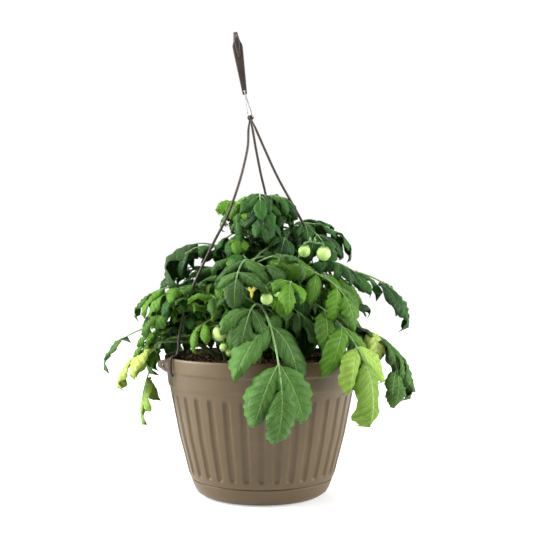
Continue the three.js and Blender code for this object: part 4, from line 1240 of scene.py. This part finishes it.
def add_ribs(bm, leaf, leaflets, looks):
    """The leaf's rib and, under each leaflet, its stalk and midrib."""
    last = leaflets[-1]
    u = np.linspace(0, last["from"] + 0.5, 14)
    line = [Vector(point) for point in sheet_points(leaf, u, 0, 0)]
    tube(bm, line, lambda share: lerp(1.5, 0.85, share), 8)
    for leaflet, look in zip(leaflets, looks):
        s = np.linspace(0.0, 0.86, 8)
        line = [Vector(point) for point in leaflet_surface(leaf, leaflet, look, s, np.zeros(8), -0.25)]
        if leaflet["side"]:
            line.insert(0, Vector(sheet_points(leaf, leaflet["from"] - 1.5, 0, 0).tolist()))
        tube(bm, line, lambda share: lerp(0.8, 0.22, share ** 0.6), 6)


# %% Leaves and stems of the plant
GREEN_SHARE = 0.45  # of a pale leaf's length, along which its leaflets are still green


def make_stem(name, stem, row):
    blades, stalks = bmesh.new(), bmesh.new()
    layers = (blades.loops.layers.uv.new("blade"), blades.verts.layers.float.new("tone"))
    number = draws(stem["seed"] + DRAWS_FOR["look"])
    line = [stem_point(stem, i / 22) for i in range(23)]
    wobble = [Vector((next(number) - 0.5, next(number) - 0.5, 0)) * 0.9 for _ in line]
    crooked = [a + b for a, b in zip(line, wobble)]
    tube(stalks, crooked, lambda share: lerp(STEM_RADIUS, STEM_TIP_RADIUS, share), 10)
    tones = list(LEAF_COLOURS)
    hang = 1 if name in STIFF_STEMS else HANG
    for leaf in row:
        looks = [leaflet_look(number) for _ in leaflets_of(leaf)]
        leaflets = [varied(leaflet, look, hang) for leaflet, look in zip(leaflets_of(leaf), looks)]
        for leaflet, look in zip(leaflets, looks):
            tone = leaf.get("tone", stem["tone"])
            if tone == "pale" and leaflet["from"] < GREEN_SHARE * leaf["length"]:
                tone = "bright"
            add_leaflet(blades, leaf, leaflet, look, layers, 2 * tones.index(tone))
        add_ribs(stalks, leaf, leaflets, looks)
    bmesh.ops.recalc_face_normals(stalks, faces=stalks.faces)
    node = f"stem_{name}"
    finish_piece(f"stalks_{name}", stalks, [stem_green], [node])
    sides = [side for tone in tones for side in (upper_sides[tone], under_sides[tone])]
    piece = finish_piece(f"leaves_{name}", blades, sides, [node])
    thick = piece.modifiers.new("thickness", "SOLIDIFY")
    thick.thickness = BLADE_THICKNESS * MM
    thick.offset = -1
    thick.material_offset = 1


for name, stem in stems.items():
    make_stem(name, stem, leaves[name])

# %% [markdown]
# ## Fruits and flowers
# The fruits are young: hard, round and pale green, on bent stalks, under a star of five sepals. A fruit is a
# round ball that is pressed in at the top and barely lobed. The flowers are small yellow stars that nod, with
# the petals thrown back and a cone of anthers in the middle.

# %% Fruit and flower finishes
def fruit_finish():
    finish = Finish("green_fruit", Coat_Weight=0.25, IOR=1.45)
    cloud = finish.noise(55, 3, 0.5)
    body = finish.mix(finish.between(cloud, 0.3, 0.7), (0.3, 0.52, 0.1), (0.5, 0.68, 0.22))
    speck = finish.between(finish.cells(900).outputs["Distance"], 0.1, 0.3, 0.4, 0)
    return finish.done(finish.mix(speck, body, (0.66, 0.78, 0.4)), 0.2, finish.bump(cloud, 0.0004, 0.3))


def petal_finish(name, deep, bright):
    finish = Finish(name, Sheen_Weight=0.2)
    streak = finish.noise(400, 3, 0.6)
    body = finish.mix(finish.between(streak, 0.3, 0.7), deep, bright)
    return finish.done(body, 0.55, finish.bump(streak, 0.0001))


fruit_skin = fruit_finish()
petal_yellow = petal_finish("petal_yellow", (0.9, 0.84, 0.08), (0.96, 0.93, 0.26))
anther_yellow = petal_finish("anther_yellow", (0.9, 0.76, 0.04), (0.94, 0.84, 0.1))
TRUSS_FINISHES = [stem_green, fruit_skin, petal_yellow, anther_yellow]
GREEN, SKIN, PETAL, ANTHER = range(4)


# %% Fruits, flowers and buds
def add_tongue(bm, at, azimuth, length, half, rise, curl, material, thick=0.35):
    """A narrow pointed blade that leaves a point at an azimuth: a sepal or a petal."""
    verts = bmesh.ops.create_grid(bm, x_segments=6, y_segments=2, size=1)["verts"]
    for vert in verts:
        s, t = (vert.co.x + 1) / 2, vert.co.y
        pitch = math.radians(rise - curl * s)
        width = half * math.sin(math.pi * (0.12 + 0.88 * s) ** 0.8)
        chord = math.radians(rise - curl * s / 2)
        cupped = 0.25 * abs(t) * width * math.cos(pitch)
        vert.co = Vector((length * s * math.cos(chord), t * width, length * s * math.sin(chord) + cupped))
    faces = list({face for vert in verts for face in vert.link_faces})
    solid = bmesh.ops.solidify(bm, geom=faces, thickness=thick)["geom"]
    whole = set(verts) | {v for item in solid if isinstance(item, bmesh.types.BMFace) for v in item.verts}
    for face in {face for vert in whole for face in vert.link_faces}:
        face.material_index = material
    turn = Matrix.Rotation(math.radians(azimuth), 3, "Z")
    bmesh.ops.rotate(bm, verts=list(whole), cent=(0, 0, 0), matrix=turn)
    bmesh.ops.translate(bm, verts=list(whole), vec=at)


def add_fruit(bm, x, y, z, radius, way, number):
    verts = bmesh.ops.create_uvsphere(bm, u_segments=32, v_segments=20, radius=radius)["verts"]
    for vert in verts:
        azimuth = math.atan2(vert.co.y, vert.co.x)
        level = math.hypot(vert.co.x, vert.co.y) / radius
        lobe = 1 + 0.018 * math.cos(5 * azimuth) * level
        dent = 0.14 * radius * math.exp(-(level / 0.28) ** 2) if vert.co.z > 0 else 0
        vert.co = Vector((vert.co.x * lobe, vert.co.y * lobe, vert.co.z * 0.96 - dent))
        for face in vert.link_faces:
            face.material_index = SKIN
    bmesh.ops.translate(bm, verts=verts, vec=(x, y, z))
    top = Vector((x, y, z + radius * 0.8))
    start = min(way, key=lambda point: (point - Vector((x, y, z + radius + 5))).length)
    middle = Vector(((x + start.x) / 2, (y + start.y) / 2, max(start.z, z + radius + 2)))
    line = smooth_line([start, middle, (x, y, z + radius + 1.5), top], 5)
    tube(bm, line, lambda share: PEDICEL_RADIUS * (1 + 0.7 * math.exp(-((share - 0.55) / 0.07) ** 2)), 8)
    turn = 72 * next(number)
    for i in range(5):
        length = radius * (0.75 + 0.2 * next(number)) + 1.5
        rise = 26 + 14 * next(number)
        curl = 70 + 20 * next(number)
        add_tongue(bm, top + Vector((0, 0, 0.25)), turn + 72 * i, length, 0.2 * length, rise, curl, GREEN)


def add_flower(bm, x, y, z, radius, number):
    turn = 60 * next(number)
    for i in range(6):
        petal, sepal = turn + 60 * i, turn + 30 + 60 * i
        rise = 24 + 12 * next(number)
        curl = -20 - 12 * next(number)
        add_tongue(bm, Vector((x, y, z)), petal, radius * 1.12, radius * 0.3, rise, curl, PETAL)
        add_tongue(bm, Vector((x, y, z + 0.9)), sepal, radius * 0.8, radius * 0.12, 38, -20, GREEN)
    profile = [
        (0, 1.2), (1.5, 1), (1.9, -1), (1.6, -3.6), (0.9, -6), (0.3, -radius * 0.82), (0, -radius * 0.85),
    ]
    cone = bmesh.new()
    spun(cone, profile, 14)
    cone.transform(Matrix.Translation((x, y, z)))
    mesh = bpy.data.meshes.new("cone")
    cone.to_mesh(mesh)
    cone.free()
    before = set(bm.faces)
    bm.from_mesh(mesh)
    for face in set(bm.faces) - before:
        face.material_index = ANTHER


def add_bud(bm, at, number):
    verts = bmesh.ops.create_uvsphere(bm, u_segments=10, v_segments=8, radius=1.7)["verts"]
    for vert in verts:
        vert.co = Vector((vert.co.x, vert.co.y, vert.co.z * 1.9 - 2.4)) + at
    for i in range(5):
        add_tongue(bm, at, 72 * i + 40 * next(number), 5.2, 0.7, -58, 14, GREEN, 0.25)


BUD_CLUSTERS = {"centre": [(-4, -97, 279), (14, -103, 275), (22, -92, 279), (0, -108, 270)],
                "left": [(-41, -94, 211)], "right": [(66, -64, 330), (60, -66, 331)],
                "back_right": [(44, 98, 268), (60, 101, 262)], "back_left": [(-46, 103, 258)]}


def make_truss(plan):
    bm = bmesh.new()
    number = draws(len(plan["name"]) * 97 + 3)  # the names differ in length, so the draws differ too
    line = smooth_line(plan["points"], 6)
    tube(bm, line, lambda share: lerp(STALK_RADIUS, PEDICEL_RADIUS, share), 10)
    way = line[8:]
    nodes = [f"truss_{plan['name']}"]
    for fruit in plan["fruits"]:
        add_fruit(bm, *fruit, way, number)
    for flower in plan["flowers"]:
        x, y, z, radius = flower
        start = min(way, key=lambda point: (point - Vector((x, y, z + 6))).length)
        middle = Vector(((x + start.x) / 2, (y + start.y) / 2, max(start.z, z + 5)))
        tube(bm, smooth_line([start, middle, (x, y, z + 4), (x, y, z + 0.8)], 5), lambda share: 0.7, 8)
        add_flower(bm, *flower, number)
    for place in BUD_CLUSTERS[plan["name"]]:
        at = Vector(place)
        start = min(way, key=lambda point: (point - at).length)
        middle = start.lerp(at, 0.5) + Vector((0, 0, 3))
        tube(bm, smooth_line([start, middle, at], 5), lambda share: 0.55, 6)
        add_bud(bm, at, number)
    bmesh.ops.recalc_face_normals(bm, faces=bm.faces)
    if plan["flowers"]:
        nodes.append("flower_1" if plan["name"] == "centre" else "flower_2")
    finish_piece(f"fruits_{plan['name']}", bm, TRUSS_FINISHES, nodes)


for plan in trusses:
    make_truss(plan)

# %% [markdown]
# ## Floor
# The floor is one pale sheet that is not part of the plant. It glows a little, and more with the distance
# from the pot, so that it runs into the white surround.

# %% Floor and finish
FLOOR_HALF = 6  # m
GLOW_FROM, GLOW_TO = (0.3, 0.42), (1.6, 1.0)  # distance from the pot's axis in m, and strength

floor_mesh = bmesh.new()
bmesh.ops.create_grid(floor_mesh, x_segments=1, y_segments=1, size=FLOOR_HALF)
floor_data = bpy.data.meshes.new("floor")
floor_mesh.to_mesh(floor_data)
floor_mesh.free()
floor_finish = Finish("floor_white", Emission_Color=(1, 1, 1, 1))
away = floor_finish.nodes.new("ShaderNodeVectorMath")
away.operation = "LENGTH"
floor_finish.links.new(floor_finish.place, away.inputs[0])
glow = floor_finish.between(away.outputs["Value"], GLOW_FROM[0], GLOW_TO[0], GLOW_FROM[1], GLOW_TO[1])
floor_finish.feed(floor_finish.shader.inputs["Emission Strength"], glow)
floor_data.materials.append(floor_finish.done((0.6, 0.6, 0.6, 1), 0.8))
floor = bpy.data.objects.new("floor", floor_data)
scene.collection.objects.link(floor)
